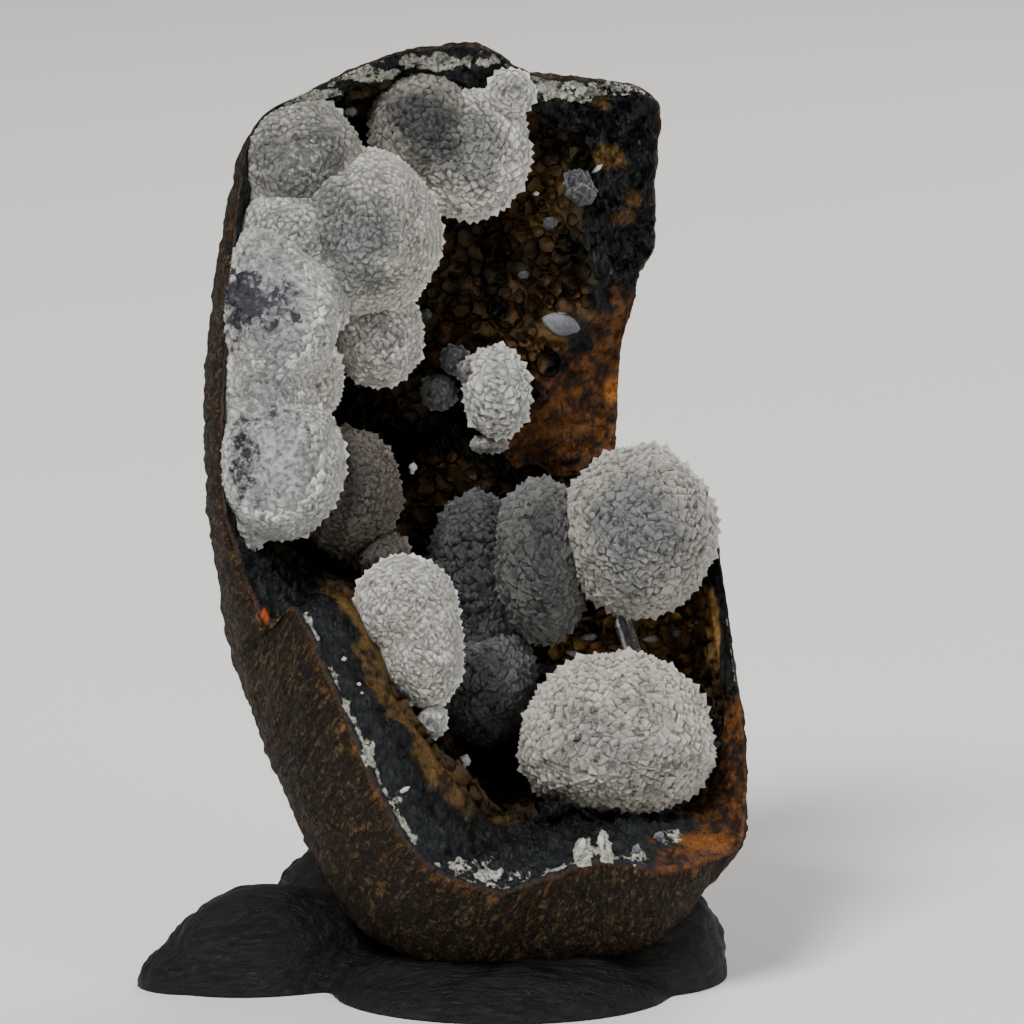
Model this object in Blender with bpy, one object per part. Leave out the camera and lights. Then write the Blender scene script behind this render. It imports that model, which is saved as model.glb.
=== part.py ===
"""Chalcedony rosettes in the hollow of a broken iron oxide nodule that stands in a lump of dark putty.

Lengths are in millimetres until a mesh is made. The specimen was laid out as it is seen from the front and
a little above: u runs to the right, v runs up the view, and d is the depth behind the middle of the view.
"""

import math

import bmesh
import bpy
import numpy as np
from mathutils import Euler, Matrix, Vector, noise

MM = 0.001

# The view that u, v and d belong to.
VIEW_TILT = math.radians(10)
VIEW_DISTANCE = 600
VIEW_HEIGHT = 46.3

# The gap between pieces that rest on each other, and how finely the nodule is meshed.
GAP = 0.35
STATIONS_AROUND = 80
BACK_RINGS = 8
SIDE_RINGS = 3
BAND_RINGS = 4
HOLLOW_RINGS = 12

# How far the back and the hollow close towards their middle lines, out of 1, and how squarely they curve.
BACK_REACH = 0.93
BACK_SQUARENESS = 1.1
HOLLOW_REACH = 0.985
HOLLOW_SQUARENESS = 0.6
BULGE = 0.6

# The relief: its size along the surface and its height.
LUMP = 5.0
LUMP_HEIGHT = 1.3
LUMP_REACH = 0.8
LUMP_SUNK = 0.4
RIND_WAVE = 8.0
RIND_WAVE_HEIGHT = 0.5
HACKLE = 2.6
HACKLE_HEIGHT = 0.9
ROOMY_WALL = 6.0
LEAST_ROOM = 0.4

# The crystal tips: the share of a ball's corners that stand out, and how far the others lie back.
TIP_SHARE = 0.45
TIP_DEPTH = 0.13
CLUSTER_FACES_KEPT = 0.7

# The putty's blobs: their middle, their half-widths, and how far they are turned about the upright.
PUTTY_BLOBS = [
    ((-1, -12, 0), (17, 13, 5.0), 0),
    ((-24, -6, 0), (12, 8, 9.5), 0.35),
    ((-32, -9, 0), (5.5, 4.5, 4), 0.1),
    ((-12, 4, 0), (14, 11, 14), 0.2),
    ((8, 5, 0), (12, 11, 12), 0),
    ((15.5, -6, 0), (6, 8, 9.5), -0.3),
]
PUTTY_GRAIN = 1.0
PUTTY_FACES_KEPT = 0.08
TABLE = (200, 200, 40)

# Each station of the rim: the outer edge of the broken face, its inner edge at the hollow, and the widest
# point of the nodule's skin beside them. They run clockwise from the upper left corner.
TOP_EDGE = [
    ((-25.0, 39.8, -5), (-24.0, 38.4, -4), (-24.6, 39.2, 0)),
    ((-21.2, 41.9, -4), (-20.6, 40.6, -3), (-21.0, 41.2, 1)),
    ((-16.7, 44.0, -3), (-16.2, 42.0, -1), (-16.7, 43.2, 2)),
    ((-11.2, 46.2, -1), (-11.4, 43.2, 2), (-11.2, 45.5, 3)),
    ((-7.2, 46.9, 0), (-7.2, 41.4, 4), (-7.2, 46.3, 4)),
    ((-4.2, 47.1, 0), (-3.4, 41.2, 4), (-4.2, 46.4, 5)),
    ((-1.2, 45.9, 1), (-0.7, 42.8, 3), (-1.2, 45.2, 5)),
    ((0.5, 44.4, 2), (0.6, 41.2, 4), (0.6, 43.8, 6)),
    ((4.8, 43.7, 3), (3.3, 39.4, 5), (4.8, 43.2, 7)),
]
BLACK_FACE = [
    ((10.8, 43.2, 5), (4.6, 38.4, 5), (10.6, 42.7, 9)),
    ((14.5, 41.5, 6), (6.4, 37.2, 6), (13.8, 41.0, 10)),
    ((14.9, 39.4, 7), (7.8, 35.4, 6), (14.3, 39.0, 11)),
    ((14.5, 33.2, 8), (7.4, 31.8, 6), (14.0, 33.2, 12)),
    ((14.4, 26.7, 9), (7.2, 28.2, 6), (13.8, 27.2, 13)),
    ((12.6, 23.6, 9.5), (8.2, 24.2, 6.5), (12.2, 23.7, 14)),
]
OCHRE_FACE = [
    ((12.0, 20.6, 10), (8.4, 20.0, 6.5), (11.6, 20.8, 14)),
    ((11.0, 16.7, 11), (4.8, 15.4, 7), (10.6, 17.2, 15)),
    ((10.8, 13.2, 12), (2.6, 13.6, 7), (10.3, 13.7, 16)),
    ((10.8, 9.7, 12), (1.8, 10.2, 8), (10.2, 10.2, 16)),
    ((10.6, 6.7, 12), (-0.7, 6.7, 9), (10.0, 7.2, 16)),
]
NOTCH = [
    ((10.6, 4.6, 12), (-0.5, 4.2, 10), (10.4, 4.6, 15)),
    ((13.4, 3.6, 11), (6.0, 2.2, 11), (13.6, 3.2, 15)),
    ((17.6, 3.6, 7), (14.0, 0.8, 9), (17.3, 2.8, 12)),
]
RIGHT_EDGE = [
    ((20.0, 1.2, 5), (18.3, -0.8, 6), (19.7, 1.2, 9)),
    ((21.0, -4.8, 4), (19.3, -5.8, 5), (20.7, -4.8, 8)),
    ((21.9, -10.8, 3), (20.1, -11.3, 4), (21.7, -11.3, 7)),
    ((22.6, -16.8, 2), (21.0, -16.8, 3), (22.4, -17.8, 6)),
]
OCHRE_CORNER = [
    ((23.1, -20.4, 1), (21.2, -21.0, 3), (23.0, -23.3, 5)),
    ((23.6, -25.8, -1), (20.2, -25.6, 2), (23.4, -28.8, 3)),
    ((23.5, -30.8, -4), (19.4, -29.4, 0), (23.0, -33.0, 1)),
    ((22.9, -33.8, -6), (17.8, -30.0, -1), (21.0, -36.0, -1)),
    ((20.0, -35.2, -9), (16.0, -30.0, -2), (17.8, -40.0, -3)),
    ((15.0, -36.5, -13), (12.8, -30.0, -4), (13.3, -43.4, -4)),
]
BOTTOM_EDGE = [
    ((11.8, -35.6, -14), (9.8, -30.0, -5), (8.8, -45.0, -4)),
    ((8.6, -35.4, -14), (6.8, -30.3, -6), (3.4, -46.2, -4)),
    ((4.3, -36.8, -15), (3.8, -30.6, -7), (-2.2, -46.8, -4)),
    ((-0.7, -38.5, -17), (0.8, -31.0, -9), (-7.5, -46.4, -4)),
    ((-4.2, -37.8, -18), (-1.2, -31.4, -10), (-11.6, -44.0, -4)),
    ((-8.2, -36.1, -19), (-3.0, -30.0, -11), (-15.7, -41.0, -3)),
]
LOWER_LEFT_EDGE = [
    ((-11.4, -32.6, -20), (-5.0, -27.8, -12), (-19.3, -35.8, -2)),
    ((-14.2, -27.3, -20), (-7.2, -25.3, -13), (-21.6, -30.7, -1)),
    ((-16.2, -22.8, -20), (-9.2, -22.3, -13), (-23.2, -27.3, 0)),
    ((-18.7, -16.8, -19), (-12.0, -18.3, -13), (-24.7, -23.9, 0)),
    ((-20.9, -12.0, -17), (-14.0, -13.3, -12), (-26.0, -20.0, 0)),
    ((-22.2, -9.8, -14), (-16.2, -8.8, -10), (-27.2, -16.8, 0)),
]
UPPER_LEFT_EDGE = [
    ((-24.4, -11.6, -12), (-19.4, -7.2, -4), (-28.3, -12.8, 1)),
    ((-26.4, -8.3, -10), (-21.2, -5.8, -2), (-29.0, -8.2, 1)),
    ((-28.0, -3.8, -9), (-23.2, -4.4, -2), (-29.8, -3.8, 1)),
    ((-29.0, 0.2, -9), (-27.0, -0.8, -6), (-30.5, 0.7, 1)),
    ((-29.3, 5.2, -9), (-27.4, 5.2, -6), (-30.8, 5.2, 1)),
    ((-29.2, 11.2, -9), (-27.4, 11.2, -6), (-30.8, 11.2, 1)),
    ((-28.8, 18.2, -9), (-27.0, 18.2, -6), (-30.2, 18.2, 1)),
    ((-28.3, 25.2, -8), (-26.5, 25.2, -5), (-29.4, 25.2, 0)),
    ((-27.6, 31.7, -7), (-25.9, 31.2, -4), (-28.2, 31.2, 0)),
    ((-26.7, 36.7, -6), (-25.2, 35.7, -4), (-26.8, 36.4, 0)),
]

# Middle line of the hollow and its depth, and the same for the nodule's back, from the top down: v, u, d.
HOLLOW_SPINE = [(30, -9, 6), (20, -9, 7), (8, -12, 8), (0, -12, 10), (-8, -2, 13), (-14, 3, 14), (-22, 5, 13)]
BACK_SPINE = [(28, -7, 17), (5, -10, 20), (-10, -4, 23), (-22, 0, 22)]


def place(u, v, d):
    """The world place, in millimetres, of a point seen at u, v with depth d."""
    spread = 1 + d / VIEW_DISTANCE
    cos, sin = math.cos(VIEW_TILT), math.sin(VIEW_TILT)
    return Vector((u * spread, d * cos + v * spread * sin, VIEW_HEIGHT - d * sin + v * spread * cos))


def material(name, colour, roughness, metallic=0.0):
    made = bpy.data.materials.new(name)
    made.use_nodes = True
    made.diffuse_color = (*colour, 1)
    shader = made.node_tree.nodes["Principled BSDF"]
    shader.inputs["Base Color"].default_value = (*colour, 1)
    shader.inputs["Roughness"].default_value = roughness
    shader.inputs["Metallic"].default_value = metallic
    return made


def new_object(name, mesh, *materials):
    made = bpy.data.objects.new(name, mesh)
    bpy.context.scene.collection.objects.link(made)
    for each in materials:
        mesh.materials.append(each)
    return made


def helper(obj):
    """Marks a cutter or a piece that a Boolean joins, so that it isn't part of the specimen."""
    obj.hide_render = True
    obj.display_type = "WIRE"
    return obj


def boolean(obj, operation, other):
    """Adds a Boolean with an object, or with a collection of objects."""
    step = obj.modifiers.new(f"{operation} {other.name}", "BOOLEAN")
    step.operation = operation
    if isinstance(other, bpy.types.Collection):
        step.operand_type = "COLLECTION"
        step.collection = other
    else:
        step.object = other


def smooth_loop(points, count):
    """A closed Catmull-Rom curve through the points, as count points an even distance apart."""
    points = np.array(points, float)
    t = np.linspace(0, 1, 8, endpoint=False)[:, None]
    dense = []
    for i in range(len(points)):
        a, b, c, e = (points[(i + k) % len(points)] for k in (-1, 0, 1, 2))
        dense.append(b + 0.5 * t * (c - a + t * (2 * a - 5 * b + 4 * c - e + t * (3 * (b - c) + e - a))))
    dense = np.concatenate(dense)
    closed = np.vstack([dense, dense[:1]])
    edges = np.diff(closed[:, :6], axis=0)
    along = np.concatenate([[0], np.cumsum(np.linalg.norm(edges, axis=1))])
    wanted = np.linspace(0, along[-1], count, endpoint=False)
    return np.stack([np.interp(wanted, along, column) for column in closed.T], axis=1)


def spine_points(spine, v):
    """The point of a spine that is level with each v, kept between the spine's ends."""
    heights, across, depth = np.array(sorted(spine), float).T
    v = np.clip(v, heights[0], heights[-1])
    return np.stack([np.interp(v, heights, across), v, np.interp(v, heights, depth)], axis=1)


def bowl(edge, middle, squareness, reach, count):
    """Loops from an edge towards its middle line on a bowl's quarter turn, an even distance apart.

    A low squareness makes steep sides and a flat floor. reach is how far the last loop goes, out of 1.
    """
    angle = np.linspace(0, reach * math.pi / 2, 50)[:, None, None]
    near, deep = np.cos(angle) ** squareness, np.sin(angle)
    curves = middle + (edge - middle) * near
    curves[:, :, 2] = edge[:, 2] + (middle[:, 2] - edge[:, 2]) * deep[:, :, 0]
    steps = np.linalg.norm(np.diff(curves, axis=0), axis=2)
    along = np.vstack([np.zeros(len(edge)), np.cumsum(steps, axis=0)])
    loops = np.empty((count, len(edge), 3))
    for i in range(len(edge)):
        wanted = np.linspace(0, along[-1, i], count)
        for axis in range(3):
            loops[:, i, axis] = np.interp(wanted, along[:, i], curves[:, i, axis])
    return loops


def nodule_rings():
    """The nodule's loops, from the middle of its back over the rim to the middle of its hollow.

    Each comes with the name of the surface that starts at it.
    """
    edges = [
        TOP_EDGE, BLACK_FACE, OCHRE_FACE, NOTCH, RIGHT_EDGE,
        OCHRE_CORNER, BOTTOM_EDGE, LOWER_LEFT_EDGE, UPPER_LEFT_EDGE,
    ]
    stations = [np.ravel(station) for edge in edges for station in edge]
    loop = smooth_loop(stations, STATIONS_AROUND)
    outer, inner, belly = loop[:, 0:3], loop[:, 3:6], loop[:, 6:9]
    back = spine_points(BACK_SPINE, belly[:, 1])
    hollow = spine_points(HOLLOW_SPINE, inner[:, 1])
    behind = bowl(belly, back, BACK_SQUARENESS, BACK_REACH, BACK_RINGS)
    rings = [("rind", ring) for ring in reversed(behind)]
    bulge_depth = belly[:, 2] + (outer[:, 2] - belly[:, 2]) * BULGE
    bulge = np.stack([belly[:, 0], belly[:, 1], bulge_depth], axis=1)
    for t in np.linspace(0, 1, SIDE_RINGS + 1)[1:]:
        ring = (1 - t) ** 2 * belly + 2 * t * (1 - t) * bulge + t**2 * outer
        rings.append(("rind" if t < 1 else "face", ring))
    for t in np.linspace(0, 1, BAND_RINGS + 1)[1:]:
        rings.append(("face" if t < 1 else "lining", outer + (inner - outer) * t))
    inside = bowl(inner, hollow, HOLLOW_SQUARENESS, HOLLOW_REACH, HOLLOW_RINGS + 1)
    rings += [("lining", ring) for ring in inside[1:]]
    room = np.minimum(1, np.linalg.norm(outer - inner, axis=1) / ROOMY_WALL)
    return rings, room


def lumps(point):
    """Height of the rounded lumps that line the hollow."""
    nearest = noise.voronoi(point / LUMP)[0][0]
    return LUMP_HEIGHT * (math.sqrt(max(0, 1 - (nearest / LUMP_REACH) ** 2)) - LUMP_SUNK)


def relief(surface, point, room):
    """How far a surface of the nodule stands out at a point, less where the wall leaves little room."""
    if surface == "lining":
        return lumps(point) * max(LEAST_ROOM, room)
    if surface == "face":
        return HACKLE_HEIGHT * noise.noise(point / HACKLE) * room
    return RIND_WAVE_HEIGHT * noise.noise(point / RIND_WAVE)


def nodule_mesh(name, swell=0.0):
    """The nodule as one closed mesh. swell moves every face out, for a cutter that leaves a gap."""
    bm = bmesh.new()
    rings, room = nodule_rings()
    loops = [[bm.verts.new(place(*point)) for point in ring] for _, ring in rings]
    count = STATIONS_AROUND
    slots = {"rind": 0, "lining": 1, "face": 2}
    for (surface, _), near, far in zip(rings, loops, loops[1:]):
        for i in range(count):
            quad = bm.faces.new((near[i], far[i], far[(i + 1) % count], near[(i + 1) % count]))
            quad.material_index = slots[surface]
    bm.faces.new(loops[0])
    bm.faces.new(reversed(loops[-1])).material_index = slots["lining"]
    bmesh.ops.recalc_face_normals(bm, faces=bm.faces)
    bm.normal_update()
    moves = []
    for (surface, _), loop in zip(rings, loops):
        for vert, share in zip(loop, room):
            moves.append((vert, vert.normal * (relief(surface, vert.co, share) + swell)))
    for vert, move in moves:
        vert.co += move
    bmesh.ops.triangulate(bm, faces=bm.faces)
    bmesh.ops.scale(bm, vec=(MM, MM, MM), verts=bm.verts)
    mesh = bpy.data.meshes.new(name)
    bm.to_mesh(mesh)
    bm.free()
    return mesh


def rosette(name, centre, radii, detail, roll=0.0):
    """A ball with crystal tips, made by pressing some of an icosphere's corners in. roll turns it in the view."""
    bm = bmesh.new()
    bmesh.ops.create_icosphere(bm, subdivisions=detail, radius=1)
    spin = Euler((noise.random() * 6, noise.random() * 6, 0)).to_matrix().to_4x4()
    bmesh.ops.transform(bm, matrix=spin, verts=bm.verts)
    for vert in bm.verts:
        if noise.random() > TIP_SHARE:
            vert.co *= 1 - TIP_DEPTH * (0.6 + 0.4 * noise.random())
    sized = Matrix.Diagonal((*radii, 1))
    leaning = Matrix.Rotation(-VIEW_TILT, 4, "X") @ Matrix.Rotation(roll, 4, "Y")
    where = Matrix.Translation(place(*centre))
    bmesh.ops.transform(bm, matrix=Matrix.Scale(MM, 4) @ where @ leaning @ sized, verts=bm.verts)
    mesh = bpy.data.meshes.new(name)
    bm.to_mesh(mesh)
    bm.free()
    return new_object(name, mesh)


def keep_largest(obj):
    """Applies an object's modifiers, and drops the pieces that a cutter left on the wall's far side."""
    graph = bpy.context.evaluated_depsgraph_get()
    mesh = bpy.data.meshes.new_from_object(obj.evaluated_get(graph))
    obj.modifiers.clear()
    bm = bmesh.new()
    bm.from_mesh(mesh)
    waiting = set(bm.verts)
    pieces = []
    while waiting:
        piece = {waiting.pop()}
        edge = set(piece)
        while edge:
            edge = {e.other_vert(vert) for vert in edge for e in vert.link_edges} - piece
            piece |= edge
        waiting -= piece
        pieces.append(piece)
    pieces.sort(key=len)
    bmesh.ops.delete(bm, geom=[vert for piece in pieces[:-1] for vert in piece], context="VERTS")
    bm.to_mesh(mesh)
    bm.free()
    obj.data = mesh


def rosettes(name, balls, finish, cutter):
    """One solid of rosettes that grew into each other, seated on the wall with a small gap."""
    grown = bpy.data.collections.new(f"{name} balls")
    base = None
    for number, ball in enumerate(balls):
        made = rosette(f"{name}_{number}", *ball)
        if base is None:
            base = made
            continue
        grown.objects.link(helper(made))
    base.name = name
    base.data.materials.append(finish)
    if len(balls) > 1:
        boolean(base, "UNION", grown)
    boolean(base, "DIFFERENCE", cutter)
    if len(balls) > 1:
        fewer = base.modifiers.new("Fewer faces", "DECIMATE")
        fewer.ratio = CLUSTER_FACES_KEPT
    keep_largest(base)


def putty(finish, seat):
    """Blobs of hand-pressed putty, merged, cut flat underneath and pressed to the nodule's shape."""
    bm = bmesh.new()
    for where, radii, turn in PUTTY_BLOBS:
        made = bmesh.ops.create_icosphere(bm, subdivisions=3, radius=1)["verts"]
        matrix = Matrix.Translation(where) @ Matrix.Rotation(turn, 4, "Z") @ Matrix.Diagonal((*radii, 1))
        bmesh.ops.transform(bm, matrix=Matrix.Scale(MM, 4) @ matrix, verts=made)
    mesh = bpy.data.meshes.new("putty_base")
    bm.to_mesh(mesh)
    bm.free()
    base = new_object("putty_base", mesh, finish)
    merged = base.modifiers.new("One lump", "REMESH")
    merged.mode = "VOXEL"
    merged.voxel_size = PUTTY_GRAIN * MM
    softened = base.modifiers.new("Softened", "SMOOTH")
    softened.iterations = 4
    fewer = base.modifiers.new("Fewer faces", "DECIMATE")
    fewer.ratio = PUTTY_FACES_KEPT
    bm = bmesh.new()
    table = Matrix.Translation((0, 0, -TABLE[2] / 2)) @ Matrix.Diagonal((*TABLE, 1))
    bmesh.ops.create_cube(bm, size=1, matrix=Matrix.Scale(MM, 4) @ table)
    mesh = bpy.data.meshes.new("Table cutter")
    bm.to_mesh(mesh)
    bm.free()
    boolean(base, "DIFFERENCE", helper(new_object("Table cutter", mesh)))
    boolean(base, "DIFFERENCE", seat)
    return base


def main():
    for obj in list(bpy.data.objects):
        bpy.data.objects.remove(obj)
    noise.seed_set(7)

    rind = material("Rind", (0.12, 0.07, 0.03), 0.75)
    lining = material("Botryoidal lining", (0.11, 0.07, 0.02), 0.5)
    face = material("Broken ironstone", (0.02, 0.02, 0.022), 0.35)
    white = material("White chalcedony", (0.62, 0.60, 0.58), 0.5)
    grey = material("Grey chalcedony", (0.30, 0.31, 0.33), 0.45)
    dark = material("Dark putty", (0.02, 0.02, 0.022), 0.6)

    new_object("nodule", nodule_mesh("nodule"), rind, lining, face)
    wall = helper(new_object("Wall cutter", nodule_mesh("Wall cutter", GAP)))

    # Each ball: its u, v, d, its half-widths, how finely it is meshed, and how far it is rolled in the view.
    # The wide ball in the middle, its neighbour above, the two at the top with a small one beside them, the
    # shell below, then the column down the left rim and the two brown ones in its shade.
    rosettes("upper_rosettes", [
        ((-15.4, 27.7, -1), (8.4, 7.5, 8.8), 3),
        ((-21.6, 34.4, -2), (6.8, 5.0, 7.4), 3),
        ((-8.4, 38.2, 3), (6.4, 4.5, 6.2), 3),
        ((-4.8, 35.6, 4), (6.8, 4.5, 6.6), 3),
        ((-0.1, 41.9, 2), (2.5, 2.5, 2.6), 2),
        ((-13.4, 17.7, 1), (4.8, 4.5, 5.4), 2),
        ((-22.2, 20.4, -4), (6.8, 5.5, 7.6), 3),
        ((-22.4, 13.2, -4), (6.8, 5.5, 7.6), 3),
        ((-21.9, 5.4, -5), (7.5, 6.0, 8.6), 3),
        ((-16.7, 2.2, 0), (6.0, 5.5, 7.0), 2),
        ((-12.8, -4.5, 0), (2.8, 3.5, 2.8), 1),
    ], white, wall)
    # The egg in the middle of the hollow, with a small one above it and one below.
    rosettes("middle_rosette", [
        ((-1.5, 12.0, 4), (3.7, 3.8, 4.8), 2),
        ((-4.4, 15.0, 5), (1.6, 1.8, 1.6), 1),
        ((-2.4, 6.8, 7), (1.8, 2.2, 1.3), 1),
    ], white, wall)
    # The round one on the right rim, and three behind it that get darker to the left.
    rosettes("right_rosettes", [
        ((12.7, -2.0, 3), (8.3, 8.0, 9.0), 3),
        ((2.6, -4.8, 5), (5.2, 7.0, 8.8), 3),
        ((-3.4, -8.0, 8), (6.2, 5.5, 10.4), 3),
        ((-3.0, -17.6, 6), (5.6, 5.5, 6.6), 2),
    ], grey, wall)
    rosettes("left_rosette", [((-10.4, -11.7, -9), (5.4, 4.8, 7.8), 3, -0.25)], white, wall)
    rosettes("lower_rosette", [((10.5, -22.7, 0), (10.7, 8.5, 8.8), 3)], white, wall)
    rosettes("small_rosette", [((-7.4, 12.0, 7), (2.0, 2.5, 2.0), 1)], grey, wall)
    rosettes("corner_rosette", [((6.8, 33.0, 5), (1.8, 2.2, 1.8), 1)], grey, wall)
    rosettes("lens_crystal", [((5.0, 18.9, 7), (1.9, 2.2, 1.1), 1)], grey, wall)
    putty(dark, wall)


main()
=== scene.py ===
"""The looks of the chalcedony specimen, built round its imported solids.

The nodule, the rosettes and the putty are meshed again, finely, from the same layout as the solids. Lengths
are in millimetres until a mesh is made: u runs to the right of the view, v up it, and d is the depth behind
its middle.
"""

import math
from itertools import product

import bmesh
import bpy
import numpy as np
from mathutils import Matrix, Vector, noise
from mathutils.bvhtree import BVHTree


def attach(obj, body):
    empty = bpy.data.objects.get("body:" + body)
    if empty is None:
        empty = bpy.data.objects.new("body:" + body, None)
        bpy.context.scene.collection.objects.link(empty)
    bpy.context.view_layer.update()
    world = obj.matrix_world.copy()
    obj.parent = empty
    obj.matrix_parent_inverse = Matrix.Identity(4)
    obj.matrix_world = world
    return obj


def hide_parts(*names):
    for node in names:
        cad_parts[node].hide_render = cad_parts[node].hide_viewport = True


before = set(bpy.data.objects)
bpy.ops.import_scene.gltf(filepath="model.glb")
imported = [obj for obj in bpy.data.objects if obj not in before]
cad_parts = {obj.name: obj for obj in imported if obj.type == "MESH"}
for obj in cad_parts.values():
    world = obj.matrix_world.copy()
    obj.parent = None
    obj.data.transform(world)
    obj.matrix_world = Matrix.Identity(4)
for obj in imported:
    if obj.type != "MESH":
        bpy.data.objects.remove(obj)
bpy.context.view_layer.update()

MM = 0.001
UP = Vector((0, 0, 1))

# The view that u, v and d belong to, which is the photograph's.
VIEW_TILT = math.radians(10)
COS_TILT, SIN_TILT = math.cos(VIEW_TILT), math.sin(VIEW_TILT)
VIEW_DISTANCE = 600
VIEW_HEIGHT = 46.3
VIEW_WIDTH = 102.4
SENSOR = 36

# How finely the nodule and the balls of the rosettes are meshed.
STATIONS_AROUND = 700
BACK_RINGS = 36
SIDE_RINGS = 18
BAND_RINGS = 25
HOLLOW_RINGS = 58
BALL_DETAIL = 5

# The lining's lumps: how far apart they are, their radii as shares of that, and how many are big or burst.
LUMP_SPACING = 1.25
LUMP_SIDES = 10
LUMP_RINGS = 5
LUMP_RADII = (0.55, 0.95)
BIG_SHARE = 0.22
BIG_SCALE = 1.45
BURST_SHARE = 0.09

# Crystal tips: the room that one takes, their sizes next to their ball's tip, how far they lean in radians,
# how many have soft edges, and the sizes of the teeth along the outlines.
TIP_ROOM = 0.56
TIP_SIZES = (0.78, 1.35)
TIP_LEAN = 0.42
SOFT_SHARE = 0.5
TOOTH_SIZES = (0.95, 1.35)

# How high the finest bumps of the stone are, in metres.
FINE_BUMP = 0.00035
SEED = 11

# Each station of the rim: u, v and d of the broken face's outer edge, of its inner edge at the hollow, and of
# the nodule's widest point beside them. They run clockwise from the upper left corner.
TOP_EDGE = [
    (-25, 39.8, -5, -24, 38.4, -4, -24.6, 39.2, 0),
    (-21.2, 41.9, -4, -20.6, 40.6, -3, -21, 41.2, 1),
    (-16.7, 44, -3, -16.2, 42, -1, -16.7, 43.2, 2),
    (-11.2, 46.2, -1, -11.4, 43.2, 2, -11.2, 45.5, 3),
    (-7.2, 46.9, 0, -7.2, 41.4, 4, -7.2, 46.3, 4),
    (-4.2, 47.1, 0, -3.4, 41.2, 4, -4.2, 46.4, 5),
    (-1.2, 45.9, 1, -0.7, 42.8, 3, -1.2, 45.2, 5),
    (0.5, 44.4, 2, 0.6, 41.2, 4, 0.6, 43.8, 6),
    (4.8, 43.7, 3, 3.3, 39.4, 5, 4.8, 43.2, 7),
]
BLACK_FACE = [
    (10.8, 43.2, 5, 4.6, 38.4, 5, 10.6, 42.7, 9),
    (14.5, 41.5, 6, 6.4, 37.2, 6, 13.8, 41, 10),
    (14.9, 39.4, 7, 7.8, 35.4, 6, 14.3, 39, 11),
    (14.5, 33.2, 8, 7.4, 31.8, 6, 14, 33.2, 12),
    (14.4, 26.7, 9, 7.2, 28.2, 6, 13.8, 27.2, 13),
    (12.6, 23.6, 9.5, 8.2, 24.2, 6.5, 12.2, 23.7, 14),
]
OCHRE_FACE = [
    (12, 20.6, 10, 8.4, 20, 6.5, 11.6, 20.8, 14),
    (11, 16.7, 11, 4.8, 15.4, 7, 10.6, 17.2, 15),
    (10.8, 13.2, 12, 2.6, 13.6, 7, 10.3, 13.7, 16),
    (10.8, 9.7, 12, 1.8, 10.2, 8, 10.2, 10.2, 16),
    (10.6, 6.7, 12, -0.7, 6.7, 9, 10, 7.2, 16),
]
NOTCH = [
    (10.6, 4.6, 12, -0.5, 4.2, 10, 10.4, 4.6, 15),
    (13.4, 3.6, 11, 6, 2.2, 11, 13.6, 3.2, 15),
    (17.6, 3.6, 7, 14, 0.8, 9, 17.3, 2.8, 12),
]
RIGHT_EDGE = [
    (20, 1.2, 5, 18.3, -0.8, 6, 19.7, 1.2, 9),
    (21, -4.8, 4, 19.3, -5.8, 5, 20.7, -4.8, 8),
    (21.9, -10.8, 3, 20.1, -11.3, 4, 21.7, -11.3, 7),
    (22.6, -16.8, 2, 21, -16.8, 3, 22.4, -17.8, 6),
]
OCHRE_CORNER = [
    (23.1, -20.4, 1, 21.2, -21, 3, 23, -23.3, 5),
    (23.6, -25.8, -1, 20.2, -25.6, 2, 23.4, -28.8, 3),
    (23.5, -30.8, -4, 19.4, -29.4, 0, 23, -33, 1),
    (22.9, -33.8, -6, 17.8, -30, -1, 21, -36, -1),
    (20, -35.2, -9, 16, -30, -2, 17.8, -40, -3),
    (15, -36.5, -13, 12.8, -30, -4, 13.3, -43.4, -4),
]
BOTTOM_EDGE = [
    (11.8, -35.6, -14, 9.8, -30, -5, 8.8, -45, -4),
    (8.6, -35.4, -14, 6.8, -30.3, -6, 3.4, -46.2, -4),
    (4.3, -36.8, -15, 3.8, -30.6, -7, -2.2, -46.8, -4),
    (-0.7, -38.5, -17, 0.8, -31, -9, -7.5, -46.4, -4),
    (-4.2, -37.8, -18, -1.2, -31.4, -10, -11.6, -44, -4),
    (-8.2, -36.1, -19, -3, -30, -11, -15.7, -41, -3),
]
LOWER_LEFT_EDGE = [
    (-11.4, -32.6, -20, -5, -27.8, -12, -19.3, -35.8, -2),
    (-14.2, -27.3, -20, -7.2, -25.3, -13, -21.6, -30.7, -1),
    (-16.2, -22.8, -20, -9.2, -22.3, -13, -23.2, -27.3, 0),
    (-18.7, -16.8, -19, -12, -18.3, -13, -24.7, -23.9, 0),
    (-20.9, -12, -17, -14, -13.3, -12, -26, -20, 0),
    (-22.2, -9.8, -14, -16.2, -8.8, -10, -27.2, -16.8, 0),
]
UPPER_LEFT_EDGE = [
    (-24.4, -11.6, -12, -19.4, -7.2, -4, -28.3, -12.8, 1),
    (-26.4, -8.3, -10, -21.2, -5.8, -2, -29, -8.2, 1),
    (-28, -3.8, -9, -23.2, -4.4, -2, -29.8, -3.8, 1),
    (-29, 0.2, -9, -27, -0.8, -6, -30.5, 0.7, 1),
    (-29.3, 5.2, -9, -27.4, 5.2, -6, -30.8, 5.2, 1),
    (-29.2, 11.2, -9, -27.4, 11.2, -6, -30.8, 11.2, 1),
    (-28.8, 18.2, -9, -27, 18.2, -6, -30.2, 18.2, 1),
    (-28.3, 25.2, -8, -26.5, 25.2, -5, -29.4, 25.2, 0),
    (-27.6, 31.7, -7, -25.9, 31.2, -4, -28.2, 31.2, 0),
    (-26.7, 36.7, -6, -25.2, 35.7, -4, -26.8, 36.4, 0),
]

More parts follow.
